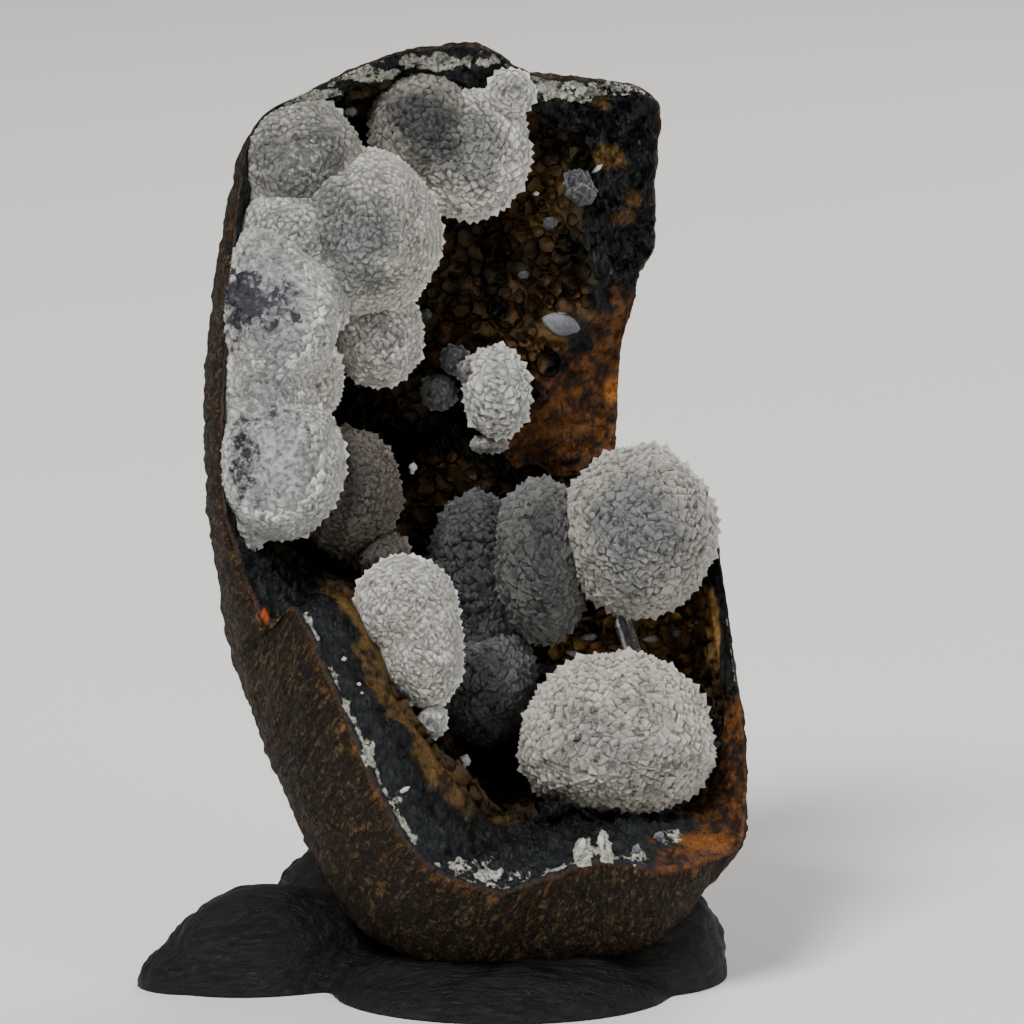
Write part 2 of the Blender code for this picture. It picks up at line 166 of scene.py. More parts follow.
# Each edge with how far its broken face is ochre, how far a pale crust lies along it and how wide that is,
# and how far its inner lip is mustard and its face hackly.
EDGES = [
    (TOP_EDGE, 0, 1, 0.6, 0, 0.2),
    (BLACK_FACE, 0, 0.8, 0.12, 0, 1),
    (OCHRE_FACE, 1, 0, 0.1, 0, 0.3),
    (NOTCH, 0.6, 0.2, 0.15, 0, 0.3),
    (RIGHT_EDGE, 0, 0.9, 0.35, 0, 0.4),
    (OCHRE_CORNER, 1, 0, 0.1, 0, 0.1),
    (BOTTOM_EDGE, 0, 0.8, 0.3, 0, 0.1),
    (LOWER_LEFT_EDGE, 0, 1, 0.3, 1, 0),
    (UPPER_LEFT_EDGE, 0, 0.3, 0.2, 0, 0.3),
]

# Middle line of the hollow and its depth, and the same for the nodule's back, from the top down: v, u, d.
HOLLOW_SPINE = [(30, -9, 6), (20, -9, 7), (8, -12, 8), (0, -12, 10), (-8, -2, 13), (-14, 3, 14), (-22, 5, 13)]
BACK_SPINE = [(28, -7, 17), (5, -10, 20), (-10, -4, 23), (-22, 0, 22)]

# Colours, as linear red, green and blue.
RIM_LINE = (0.16, 0.062, 0.02)
PALE_CRUST = (0.52, 0.52, 0.45)
DARK_CRUST = (0.09, 0.1, 0.08)
BLUE_BLACK = (0.011, 0.013, 0.014)
PITCH_BLACK = (0.003, 0.003, 0.003)
OCHRE = (0.105, 0.038, 0.008)
OCHRE_DARK = (0.016, 0.007, 0.004)
MUSTARD = (0.082, 0.045, 0.012)
OLIVE = (0.026, 0.016, 0.005)
RUST = (0.08, 0.026, 0.007)
RIND_DARK = (0.006, 0.004, 0.003)
RIND_BROWN = (0.031, 0.0155, 0.005)
RIND_GOLD = (0.185, 0.112, 0.038)
NAVY = (0.003, 0.004, 0.01)
FROST = (0.6, 0.6, 0.58)
PUTTY_BLACK = (0.003, 0.003, 0.003)
PUTTY_DUST = (0.009, 0.009, 0.008)
QUARTZ_IOR = 1.54

# Colour spots on the broken face and the lining: u, v, half-width, half-height and colour. Some of them
# are painted light and painted shade, as noted below.
SPOTS = [
    (9.6, 35.4, 1.5, 1.3, (0.08, 0.042, 0.01)),
    (12, 31.4, 0.9, 1, (0.06, 0.03, 0.009)),
    (11, 29.4, 1.3, 0.8, (0.06, 0.03, 0.009)),
    (8.8, 41, 0.8, 0.8, (0.06, 0.032, 0.01)),
    (-24.9, -11.6, 0.5, 1.6, (0.3, 0.045, 0.008)),
    (8.9, 21.4, 1.5, 1.9, PITCH_BLACK),
    (6.7, 17.6, 1.4, 1.8, PITCH_BLACK),
    (4.4, 14.8, 1.2, 1.2, PITCH_BLACK),
    (10, 12.2, 0.9, 1.5, (0.24, 0.085, 0.012)),
    # Painted light: lining lumps that lie in shade, made far lighter than the lining's own olive-brown.
    (17.2, -14, 2.4, 5.6, (0.62, 0.37, 0.105)),
    (11, -12.6, 8, 3, (0.5, 0.29, 0.085)),
    (19.6, -13.5, 1.5, 5.6, (0.26, 0.15, 0.042)),
    (21.5, -12.5, 0.7, 7.5, PITCH_BLACK),
    # Painted shade: black where two round holes in the lining lie, which the mesh doesn't cut.
    (16.6, -15.2, 0.8, 0.8, PITCH_BLACK),
    (16.1, -13.4, 0.5, 0.6, PITCH_BLACK),
    (-5.2, -27, 0.6, 0.5, PITCH_BLACK),
    (14.6, -31.6, 3.6, 2.4, BLUE_BLACK),
    (12.6, -34.6, 2.2, 2.2, BLUE_BLACK),
    (11.8, -31.8, 1.8, 1.8, BLUE_BLACK),
    (19.5, -33.2, 2.4, 1, (0.16, 0.056, 0.011)),
]
# Spots of pale crust in the same way, with how thick it is.
CRUST_SPOTS = [
    (7.2, -34.2, 1.2, 1.6, 0.75),
    (9.4, -34, 1, 1.8, 0.75),
    (12.6, -34.6, 1.2, 1.2, 0.6),
    (-2.2, -36.2, 1.6, 0.7, 0.66),
    (0.6, -36.6, 2, 0.8, 0.52),
    (-3.4, -35, 2.2, 0.8, 0.5),
    (-5.8, -35.6, 0.9, 0.6, 0.62),
    (-3.6, -36.4, 3.4, 1, 0.5),
    (15.4, -32.4, 1.4, 1.2, 0.52),
    (-14.6, -24, 0.8, 1.6, 0.62),
    (-16.6, -19.4, 0.7, 1.2, 0.6),
    (-12, -29.2, 0.9, 1, 0.58),
    (4.8, 42.2, 4.5, 1.3, 0.6),
    (10.4, 42.4, 4, 0.9, 0.58),
    (-8, 45, 4, 0.9, 0.62),
    (-14.4, 44, 3.6, 1, 0.62),
    (-19.6, 41.6, 3.4, 1.1, 0.62),
]

# The ragged black ledge in front of the lowest rosette: u, v, half-width and half-height.
LEDGE = (8.6, -30.3, 8, 1.2)


def place(u, v, d):
    """The world place, in metres, of a point seen at u, v with depth d."""
    spread = 1 + d / VIEW_DISTANCE
    y, z = d * COS_TILT + v * spread * SIN_TILT, VIEW_HEIGHT - d * SIN_TILT + v * spread * COS_TILT
    return MM * Vector((u * spread, y, z))


def places(points):
    """place() for an array of points."""
    u, v, d = points[:, 0], points[:, 1], points[:, 2]
    spread = 1 + d / VIEW_DISTANCE
    y, z = d * COS_TILT + v * spread * SIN_TILT, VIEW_HEIGHT - d * SIN_TILT + v * spread * COS_TILT
    return MM * np.stack([u * spread, y, z], axis=1)


def smoothstep(low, high, value):
    t = np.clip((value - low) / (high - low), 0, 1)
    return t * t * (3 - 2 * t)


def blend(a, b, share):
    """Colours between a and b, a row for each share."""
    share = np.asarray(share)[:, None]
    return np.asarray(a) * (1 - share) + np.asarray(b) * share


def unit(rows):
    return rows / np.linalg.norm(rows, axis=1)[:, None]


def noise_at(points, size, octaves=3, offset=0.0):
    """Smooth noise of about -1 to 1 at each world point, with features of the given size in millimetres."""
    shift = Vector((offset, offset * 0.7, -offset))
    scale = 1 / (size * MM)
    return np.array([noise.fractal(Vector(p) * scale + shift, 0.6, 2.0, octaves) for p in points])


def mesh_from(name, points, faces, smooth=True):
    mesh = bpy.data.meshes.new(name)
    mesh.from_pydata([tuple(p) for p in points], [], faces)
    mesh.polygons.foreach_set("use_smooth", [smooth] * len(mesh.polygons))
    mesh.update()
    return mesh


def paint(mesh, name, colours):
    """Stores a colour for each vertex."""
    layer = mesh.color_attributes.new(name, "FLOAT_COLOR", "POINT")
    rgba = np.ones((len(mesh.vertices), 4), np.float32)
    rgba[:, :3] = colours
    layer.data.foreach_set("color", rgba.ravel())


def grade(mesh, name, values):
    """Stores a number for each vertex."""
    layer = mesh.attributes.new(name, "FLOAT", "POINT")
    layer.data.foreach_set("value", np.asarray(values, np.float32))


def read(collection, field, width=1):
    """One field of all a mesh's elements, as an array."""
    values = np.empty(len(collection) * width, np.float32)
    collection.foreach_get(field, values)
    return values.reshape((-1, width) if width > 1 else -1)


class Gathered:
    """The points, faces and colours of many small shapes that make up one mesh."""

    def __init__(self):
        self.points, self.faces, self.colours, self.soft = [], [], [], []
        self.total = 0

    def add(self, points, faces, colours, soft=True):
        """Faces count the shape's own points from 0. soft faces are shaded smooth."""
        self.points.append(points)
        self.faces += [[i + self.total for i in face] for face in faces]
        self.colours.append(colours)
        self.soft += [bool(soft)] * len(faces)
        self.total += len(points)

    def mesh(self, name):
        made = mesh_from(name, np.vstack(self.points), self.faces)
        made.polygons.foreach_set("use_smooth", self.soft)
        paint(made, "tint", np.clip(np.vstack(self.colours), 0, 1))
        return made


def shown(name, data):
    """A new object in the scene."""
    made = bpy.data.objects.new(name, data)
    bpy.context.scene.collection.objects.link(made)
    return made


def piece(name, mesh, finish, slot, *nodes):
    """A shown piece: it rides on the body, has its finish, and stands for the CAD nodes given."""
    made = shown(name, mesh)
    mesh.materials.append(finish)
    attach(made, "root")
    if nodes:
        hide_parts(*nodes)


# Materials


def connect(tree, node, inputs):
    """Sets a node's inputs, each to a number, a colour or another node's output."""
    for socket, value in inputs.items():
        if isinstance(value, bpy.types.NodeSocket):
            tree.links.new(value, node.inputs[socket])
        else:
            node.inputs[socket].default_value = value


def add(tree, kind, inputs, **settings):
    made = tree.nodes.new("ShaderNode" + kind)
    for setting, value in settings.items():
        setattr(made, setting, value)
    connect(tree, made, inputs)
    return made


def maths(tree, operation, a, b=0.0):
    return add(tree, "Math", {0: a, 1: b}, operation=operation).outputs["Value"]


def times(tree, a, b):
    return maths(tree, "MULTIPLY", a, b)


def vectors(tree, operation, inputs):
    return add(tree, "VectorMath", inputs, operation=operation).outputs["Vector"]


def stepped(tree, value, low, high, to_low=0.0, to_high=1.0):
    """A value taken from the range low to high onto another range, and kept in it."""
    inputs = {"Value": value, "From Min": low, "From Max": high, "To Min": to_low, "To Max": to_high}
    return add(tree, "MapRange", inputs).outputs["Result"]


def mixed(tree, share, a, b, how="MIX"):
    """Colour a turned towards colour b by a share."""
    a, b = ((*colour, 1) if isinstance(colour, tuple) else colour for colour in (a, b))
    return add(tree, "Mix", {0: share, 6: a, 7: b}, data_type="RGBA", blend_type=how).outputs[2]


def shaded(tree, colour, value):
    """A colour made lighter or darker by a number."""
    grey = add(tree, "CombineColor", {"Red": value, "Green": value, "Blue": value}).outputs["Color"]
    return mixed(tree, 1.0, colour, grey, "MULTIPLY")


def clouds(tree, where, scale, detail, roughness=0.7, distortion=0.0):
    """Fractal noise, its scale in features to the millimetre."""
    inputs = {"Vector": where, "Scale": scale, "Detail": detail}
    inputs |= {"Roughness": roughness, "Distortion": distortion}
    return add(tree, "TexNoise", inputs).outputs["Fac"]


def bumped(tree, height, strength, distance, under=None):
    """A normal from a height, on top of another normal."""
    inputs = {"Height": height, "Strength": strength, "Distance": distance}
    if under:
        inputs["Normal"] = under
    return add(tree, "Bump", inputs).outputs["Normal"]


def new_material(name):
    made = bpy.data.materials.new(name)
    made.use_nodes = True
    return made, made.node_tree, made.node_tree.nodes["Principled BSDF"]


def in_millimetres(tree, stretch=(1, 1, 1)):
    """Object coordinates scaled so that a texture's scale counts features in a millimetre."""
    where = add(tree, "TexCoord", {}).outputs["Object"]
    return add(tree, "Mapping", {"Vector": where, "Scale": [s / MM for s in stretch]}).outputs["Vector"]


def stored(tree, name, output="Fac"):
    """A value that the mesh stores."""
    return add(tree, "Attribute", {}, attribute_name=name).outputs[output]


def tilted_grains(tree, where, size, tilt, normal):
    """A normal turned a different way in every grain, so that a few of them catch the light."""
    grain = add(tree, "TexVoronoi", {"Vector": where, "Scale": 1 / size, "Randomness": 1.0}).outputs["Color"]
    centred = vectors(tree, "SUBTRACT", {0: grain, 1: (0.5, 0.5, 0.5)})
    turned = vectors(tree, "SCALE", {0: centred, "Scale": tilt})
    return vectors(tree, "NORMALIZE", {0: vectors(tree, "ADD", {0: normal, 1: turned})})


def nodule_material():
    """Rind, broken face and lining share one material: their colours and gloss are stored in the mesh."""
    made, tree, shader = new_material("Nodule")
    where = in_millimetres(tree)
    gloss, rind, crust, facet = (stored(tree, name) for name in ("gloss", "rind", "crust", "facet"))
    grain = clouds(tree, where, 2.2, 5)
    grained = shaded(tree, stored(tree, "tint", "Color"), stepped(tree, grain, 0.3, 0.7, 0.45, 1.55))
    # Bark-like ripples on the rind. The creases between them are darkened as painted shade, and the golden
    # flecks on their crests are partly the rind's golden grains and partly painted glints.
    bark = clouds(tree, stored(tree, "bark", "Vector"), 1.35, 4, 0.6, 0.6)
    open_bark = stepped(tree, maths(tree, "ABSOLUTE", maths(tree, "SUBTRACT", bark, 0.5)), 0.0, 0.10)
    crest = times(tree, open_bark, stepped(tree, clouds(tree, where, 2.1, 5, 0.8), 0.46, 0.60))
    crease = times(tree, maths(tree, "SUBTRACT", 1.0, open_bark), rind)
    painted_creases = mixed(tree, crease, grained, RIND_DARK)
    flecked = mixed(tree, times(tree, times(tree, crest, rind), 0.5), painted_creases, RIND_GOLD)
    # Pale crust, in crisp specks where there is little of it.
    covered = stepped(tree, maths(tree, "ADD", clouds(tree, where, 1.5, 5, 0.65), crust), 1.0, 1.06)
    crust_colour = mixed(tree, stepped(tree, grain, 0.36, 0.62), DARK_CRUST, PALE_CRUST)
    normal = bumped(tree, times(tree, open_bark, rind), 1.0, FINE_BUMP)
    normal = bumped(tree, grain, 0.8, FINE_BUMP, normal)
    normal = bumped(tree, covered, 1.0, 0.0004, normal)
    tilt = stepped(tree, facet, 0.0, 1.0, 0.25, 1.3)
    dullness = stepped(tree, gloss, 0.0, 1.0, 0.72, 0.14)
    connect(tree, shader, {
        "Base Color": mixed(tree, covered, flecked, crust_colour),
        "Roughness": maths(tree, "ADD", dullness, times(tree, covered, 0.25)),
        "Specular IOR Level": 0.18,
        "Normal": tilted_grains(tree, in_millimetres(tree, (1.5, 0.9, 0.75)), 0.40, tilt, normal),
    })
    return made


def chalcedony_material(name, roughness):
    """Translucent, waxy silica. The mesh stores how white or grey it is."""
    made, tree, shader = new_material(name)
    where = in_millimetres(tree)
    navy = stored(tree, "navy")
    cloud = stepped(tree, clouds(tree, where, 0.45, 6), 0.32, 0.68, 0.68, 1.18)
    clouded = shaded(tree, stored(tree, "tint", "Color"), cloud)
    # Navy where the silica is worn through, whole in the middle and broken up by white grains round its edge.
    worn = stepped(tree, maths(tree, "ADD", clouds(tree, where, 0.95, 6), navy), 0.90, 1.22)
    ringed = times(tree, stepped(tree, navy, 0.05, 0.4, 0.0, 0.8), stepped(tree, navy, 0.55, 0.9, 1.0, 0.15))
    frosty = times(tree, stepped(tree, clouds(tree, where, 1.7, 4), 0.52, 0.66), ringed)
    connect(tree, shader, {
        "Base Color": mixed(tree, frosty, mixed(tree, worn, clouded, NAVY), FROST),
        "Roughness": roughness,
        "IOR": QUARTZ_IOR,
        "Specular IOR Level": 0.4,
        "Subsurface Weight": stepped(tree, worn, 0.0, 1.0, 0.85, 0.0),
        "Subsurface Radius": (1.0, 1.0, 1.1),
        "Subsurface Scale": 0.0013,
        "Normal": bumped(tree, clouds(tree, where, 1.8, 5, 0.65), 0.8, FINE_BUMP),
    })
    return made


def clear_crystal_material():
    """Glass-clear quartz, slightly frosted."""
    made, tree, shader = new_material("Clear crystal")
    connect(tree, shader, {
        "Base Color": (0.78, 0.81, 0.88, 1),
        "IOR": QUARTZ_IOR,
        "Transmission Weight": 1.0,
        "Roughness": stepped(tree, clouds(tree, in_millimetres(tree), 1.2, 4, 0.5), 0.3, 0.7, 0.02, 0.3),
    })
    return made


def putty_material():
    """Black putty, dull with a slight sheen where fingers smoothed it."""
    made, tree, shader = new_material("Putty")
    dust = clouds(tree, in_millimetres(tree), 0.35, 6)
    crease = clouds(tree, in_millimetres(tree, (0.5, 1.3, 1.3)), 0.9, 6, 0.62, 1.2)
    connect(tree, shader, {
        "Base Color": mixed(tree, stepped(tree, dust, 0.35, 0.7), PUTTY_BLACK, PUTTY_DUST),
        "Roughness": stepped(tree, dust, 0.3, 0.7, 0.36, 0.62),
        "Specular IOR Level": 0.2,
        "Normal": bumped(tree, crease, 0.7, 0.0009),
    })
    return made


# The nodule


def smooth_loop(points, count):
    """A closed Catmull-Rom curve through the points, as count points an even distance apart."""
    points = np.array(points, float)
    steps_between = 12
    t = np.linspace(0, 1, steps_between, endpoint=False)[:, None]
    dense = []
    for i in range(len(points)):
        a, b, c, e = (points[(i + k) % len(points)] for k in (-1, 0, 1, 2))
        dense.append(b + 0.5 * t * (c - a + t * (2 * a - 5 * b + 4 * c - e + t * (3 * (b - c) + e - a))))
    dense = np.concatenate(dense)
    closed = np.vstack([dense, dense[:1]])
    edges = np.diff(closed[:, :6], axis=0)
    along = np.concatenate([[0], np.cumsum(np.linalg.norm(edges, axis=1))])
    wanted = np.linspace(0, along[-1], count, endpoint=False)
    return np.stack([np.interp(wanted, along, column) for column in closed.T], axis=1)


def spine_points(spine, v):
    """The point of a spine that is level with each v, kept between the spine's ends."""
    heights, across, depth = np.array(sorted(spine), float).T
    v = np.clip(v, heights[0], heights[-1])
    return np.stack([np.interp(v, heights, across), v, np.interp(v, heights, depth)], axis=1)


def bowl(edge, middle, squareness, reach, count):
    """Loops from an edge towards its middle line on a bowl's quarter turn, an even distance apart.

    A low squareness makes steep sides and a flat floor. reach is how far the last loop goes, out of 1.
    """
    samples = 200
    angle = np.linspace(0, reach * math.pi / 2, samples)[:, None, None]
    near, deep = np.cos(angle) ** squareness, np.sin(angle)
    curves = middle + (edge - middle) * near
    curves[:, :, 2] = edge[:, 2] + (middle[:, 2] - edge[:, 2]) * deep[:, :, 0]
    steps = np.linalg.norm(np.diff(curves, axis=0), axis=2)
    along = np.vstack([np.zeros(len(edge)), np.cumsum(steps, axis=0)])
    loops = np.empty((count, len(edge), 3))
    for i in range(len(edge)):
        wanted = np.linspace(0, along[-1, i], count)
        for axis in range(3):
            loops[:, i, axis] = np.interp(wanted, along[:, i], curves[:, i, axis])
    return loops


class Nodule:
    """The nodule's points as loops: rind from the middle of the back, broken face, then lining."""

    def __init__(self):
        stations = []
        for edge, *finish in EDGES:
            for station in edge:
                stations.append([*station, *finish])
        loop = smooth_loop(stations, STATIONS_AROUND)
        outer, inner, belly = loop[:, 0:3], loop[:, 3:6], loop[:, 6:9]
        self.ochre, self.pale, self.pale_width, self.mustard, self.hackly = np.clip(loop[:, 9:].T, 0, 1)
        back = spine_points(BACK_SPINE, belly[:, 1])
        hollow = spine_points(HOLLOW_SPINE, inner[:, 1])
        bulge = np.stack([belly[:, 0], belly[:, 1], 0.4 * belly[:, 2] + 0.6 * outer[:, 2]], axis=1)
        loops = list(reversed(bowl(belly, back, 1.1, 1, BACK_RINGS)))
        for t in 1 - (1 - np.linspace(0, 1, SIDE_RINGS + 1)[1:]) ** 1.5:
            loops.append((1 - t) ** 2 * belly + 2 * t * (1 - t) * bulge + t**2 * outer)
        for t in np.linspace(0, 1, BAND_RINGS + 1)[1:]:
            loops.append(outer + (inner - outer) * t)
        loops += list(bowl(inner, hollow, 0.6, 0.998, HOLLOW_RINGS + 1)[1:])
        self.loops = np.array(loops)
        self.rings = len(loops)
        self.rim = BACK_RINGS + SIDE_RINGS - 1
        self.lip = self.rim + BAND_RINGS
        # For every point: which loop and station it is on, and its share of the way over the broken face.
        ring, station = np.divmod(np.arange(self.rings * STATIONS_AROUND), STATIONS_AROUND)
        self.ring, self.station = ring, station
        self.across = np.clip((ring - self.rim) / BAND_RINGS, 0, 1)
        room = np.minimum(1, np.linalg.norm(outer - inner, axis=1) / 6.0)
        self.room = room[station]
        self.is_rind = ring <= self.rim
        self.is_lining = ring > self.lip
        self.is_face = ~self.is_rind & ~self.is_lining
        self.points = places(self.loops.reshape(-1, 3))
        self.bark = self.bark_points()

    def bark_points(self):
        """Where each point lies in a texture whose ridges run from the rim round to the back."""
        steps = np.linalg.norm(np.diff(self.loops, axis=0), axis=2)
        along = np.vstack([np.zeros(STATIONS_AROUND), np.cumsum(steps, axis=0)])
        along = along[self.rim] - along
        self.from_rim = along.ravel()
        around = np.linalg.norm(self.loops[self.rim] - np.roll(self.loops[self.rim], 1, axis=0), axis=1).sum()
        turn = math.tau * self.station / STATIONS_AROUND
        reach = around / math.tau
        drift = along.ravel() * 0.25
        made = np.stack([reach * np.cos(turn) + drift, reach * np.sin(turn), along.ravel() * 0.28], axis=1)
        # Near the middle of the back, where the ridges would all meet, the texture turns into an even one.
        from_spine = along[0][self.station] - along.ravel()
        share = smoothstep(3, 16, from_spine)[:, None]
        return MM * made * share + self.points * (1 - share)

    def faces(self):
        count = STATIONS_AROUND
        start = np.arange((self.rings - 1) * count)
        ring, i = np.divmod(start, count)
        after = (i + 1) % count
        near, far = ring * count, (ring + 1) * count
        quads = np.stack([near + i, near + after, far + after, far + i], axis=1).tolist()
        last = (self.rings - 1) * count
        quads.append([last + k for k in range(count)])
        return quads


def scatter(points, spacing, rng):
    """Indices of points picked in random order, none nearer to another than the spacing."""
    cells = {}
    kept = []
    for i in rng.permutation(len(points)):
        p = points[i]
        cell = tuple(np.floor(p / spacing).astype(int))
        around = product(*((c - 1, c, c + 1) for c in cell))
        near = (q for other in around for q in cells.get(other, ()))
        if all((q[0] - p[0]) ** 2 + (q[1] - p[1]) ** 2 + (q[2] - p[2]) ** 2 > spacing**2 for q in near):
            cells.setdefault(cell, []).append(p)
            kept.append(i)
    return np.array(kept)


# Sections of a lump from its top down: share of its radius, and height. A burst one is open at the top.
WHOLE_LUMP = np.array([(0, 1.0), (0.34, 0.93), (0.64, 0.74), (0.88, 0.42), (1.0, 0.0), (0.9, -0.5)])
BURST_LUMP = np.array([(0, -0.3), (0.34, -0.1), (0.50, 0.78), (0.74, 0.70), (0.97, 0.2), (0.9, -0.5)])


def lump_faces():
    """A fan round a lump's top, and bands down its sides."""
    faces = []
    for k in range(LUMP_SIDES):
        after = (k + 1) % LUMP_SIDES
        faces.append((0, 1 + k, 1 + after))
        for level in range(LUMP_RINGS - 1):
            near, far = 1 + level * LUMP_SIDES, 1 + (level + 1) * LUMP_SIDES
            faces.append((near + k, far + k, far + after, near + after))
    return faces


def lining_lumps(shape, surface, balls, rng):
    """The botryoidal lumps that cover the lining, a few of them burst."""
    points = read(surface.vertices, "co", 3).astype(float)
    normals = read(surface.vertex_normals, "vector", 3).astype(float)
    tints = read(surface.attributes["tint"].data, "color", 4)[:, :3].astype(float)
    gloss, facet = (read(surface.attributes[name].data, "value").astype(float) for name in ("gloss", "facet"))
    lining = np.flatnonzero(shape.ring > shape.lip + 2)
    seeds = lining[scatter(points[lining], LUMP_SPACING * MM, rng)]
    for ball in balls:
        kept_off = 0.9 + 0.6 * MM / min(ball.radii)
        seeds = seeds[ball.depth_in(points[seeds]) > kept_off]
    turn = np.arange(LUMP_SIDES) * math.tau / LUMP_SIDES
    faces = lump_faces()
    gathered = Gathered()
    for i in seeds:
        burst = rng.random() < BURST_SHARE
        form = BURST_LUMP if burst else WHOLE_LUMP
        radius = LUMP_SPACING * MM * rng.uniform(*LUMP_RADII) * (BIG_SCALE if rng.random() < BIG_SHARE else 1)
        squash = rng.uniform(0.7, 1.0)
        up = Vector(normals[i])
        across = up.orthogonal().normalized()
        start = rng.uniform(0, math.tau)
        ring = np.outer(np.cos(turn + start), across) * rng.uniform(0.85, 1.1)
        ring += np.outer(np.sin(turn + start), up.cross(across))
        reaches, rises = np.repeat(form, [1] + [LUMP_SIDES] * LUMP_RINGS, axis=0).T
        made = np.vstack([np.zeros((1, 3)), np.tile(ring, (LUMP_RINGS, 1))]) * reaches[:, None]
        made = (made + np.outer(rises, up) * squash) * radius
        made *= 1 + 0.40 * noise_at(made + points[i], 1.0, 2, 31.0)[:, None]
        sunk = radius * (0.15 + 0.2 * rng.random())
        # Painted shade: each lump darker towards its foot, where lumps meet, than on its top, times a random
        # tone of its own. A burst lump's open top is black, partly the lining's glossy black and partly
        # painted shade in the hole.
        shade = np.clip(0.62 + 0.30 * rises, 0.35, 1.0) * rng.uniform(0.35, 1.0)
        if burst:
            shade[: 1 + LUMP_SIDES] = 0.01
        gathered.add(made + points[i] - np.array(up) * sunk, faces, tints[i] * shade[:, None])
    mesh = gathered.mesh("lining_lumps")
    per_lump = len(reaches)
    grade(mesh, "gloss", np.repeat(gloss[seeds], per_lump))
    grade(mesh, "facet", np.repeat(0.7 * facet[seeds], per_lump))
    for name in ("rind", "crust"):
        grade(mesh, name, np.zeros(len(mesh.vertices)))
    return mesh


def facets(points, size, offset):
    """Flat-stepped heights, as on a broken crystalline face: one random height for each cell."""
    scale = 1 / (size * MM)
    shift = Vector((offset, 0, 0))
    return np.array([noise.cell(noise.voronoi(Vector(p) * scale + shift)[1][0] * 7) for p in points])


def spot_share(views, spot, wobble):
    """How much of a spot lies on each point, by its place in the view. wobble makes the edge ragged."""
    u, v, half_u, half_v = spot[:4]
    away = np.hypot((views[:, 0] - u) / half_u, (views[:, 1] - v) / half_v)
    return 1 - smoothstep(0.75, 1.15, away + 0.35 * wobble)


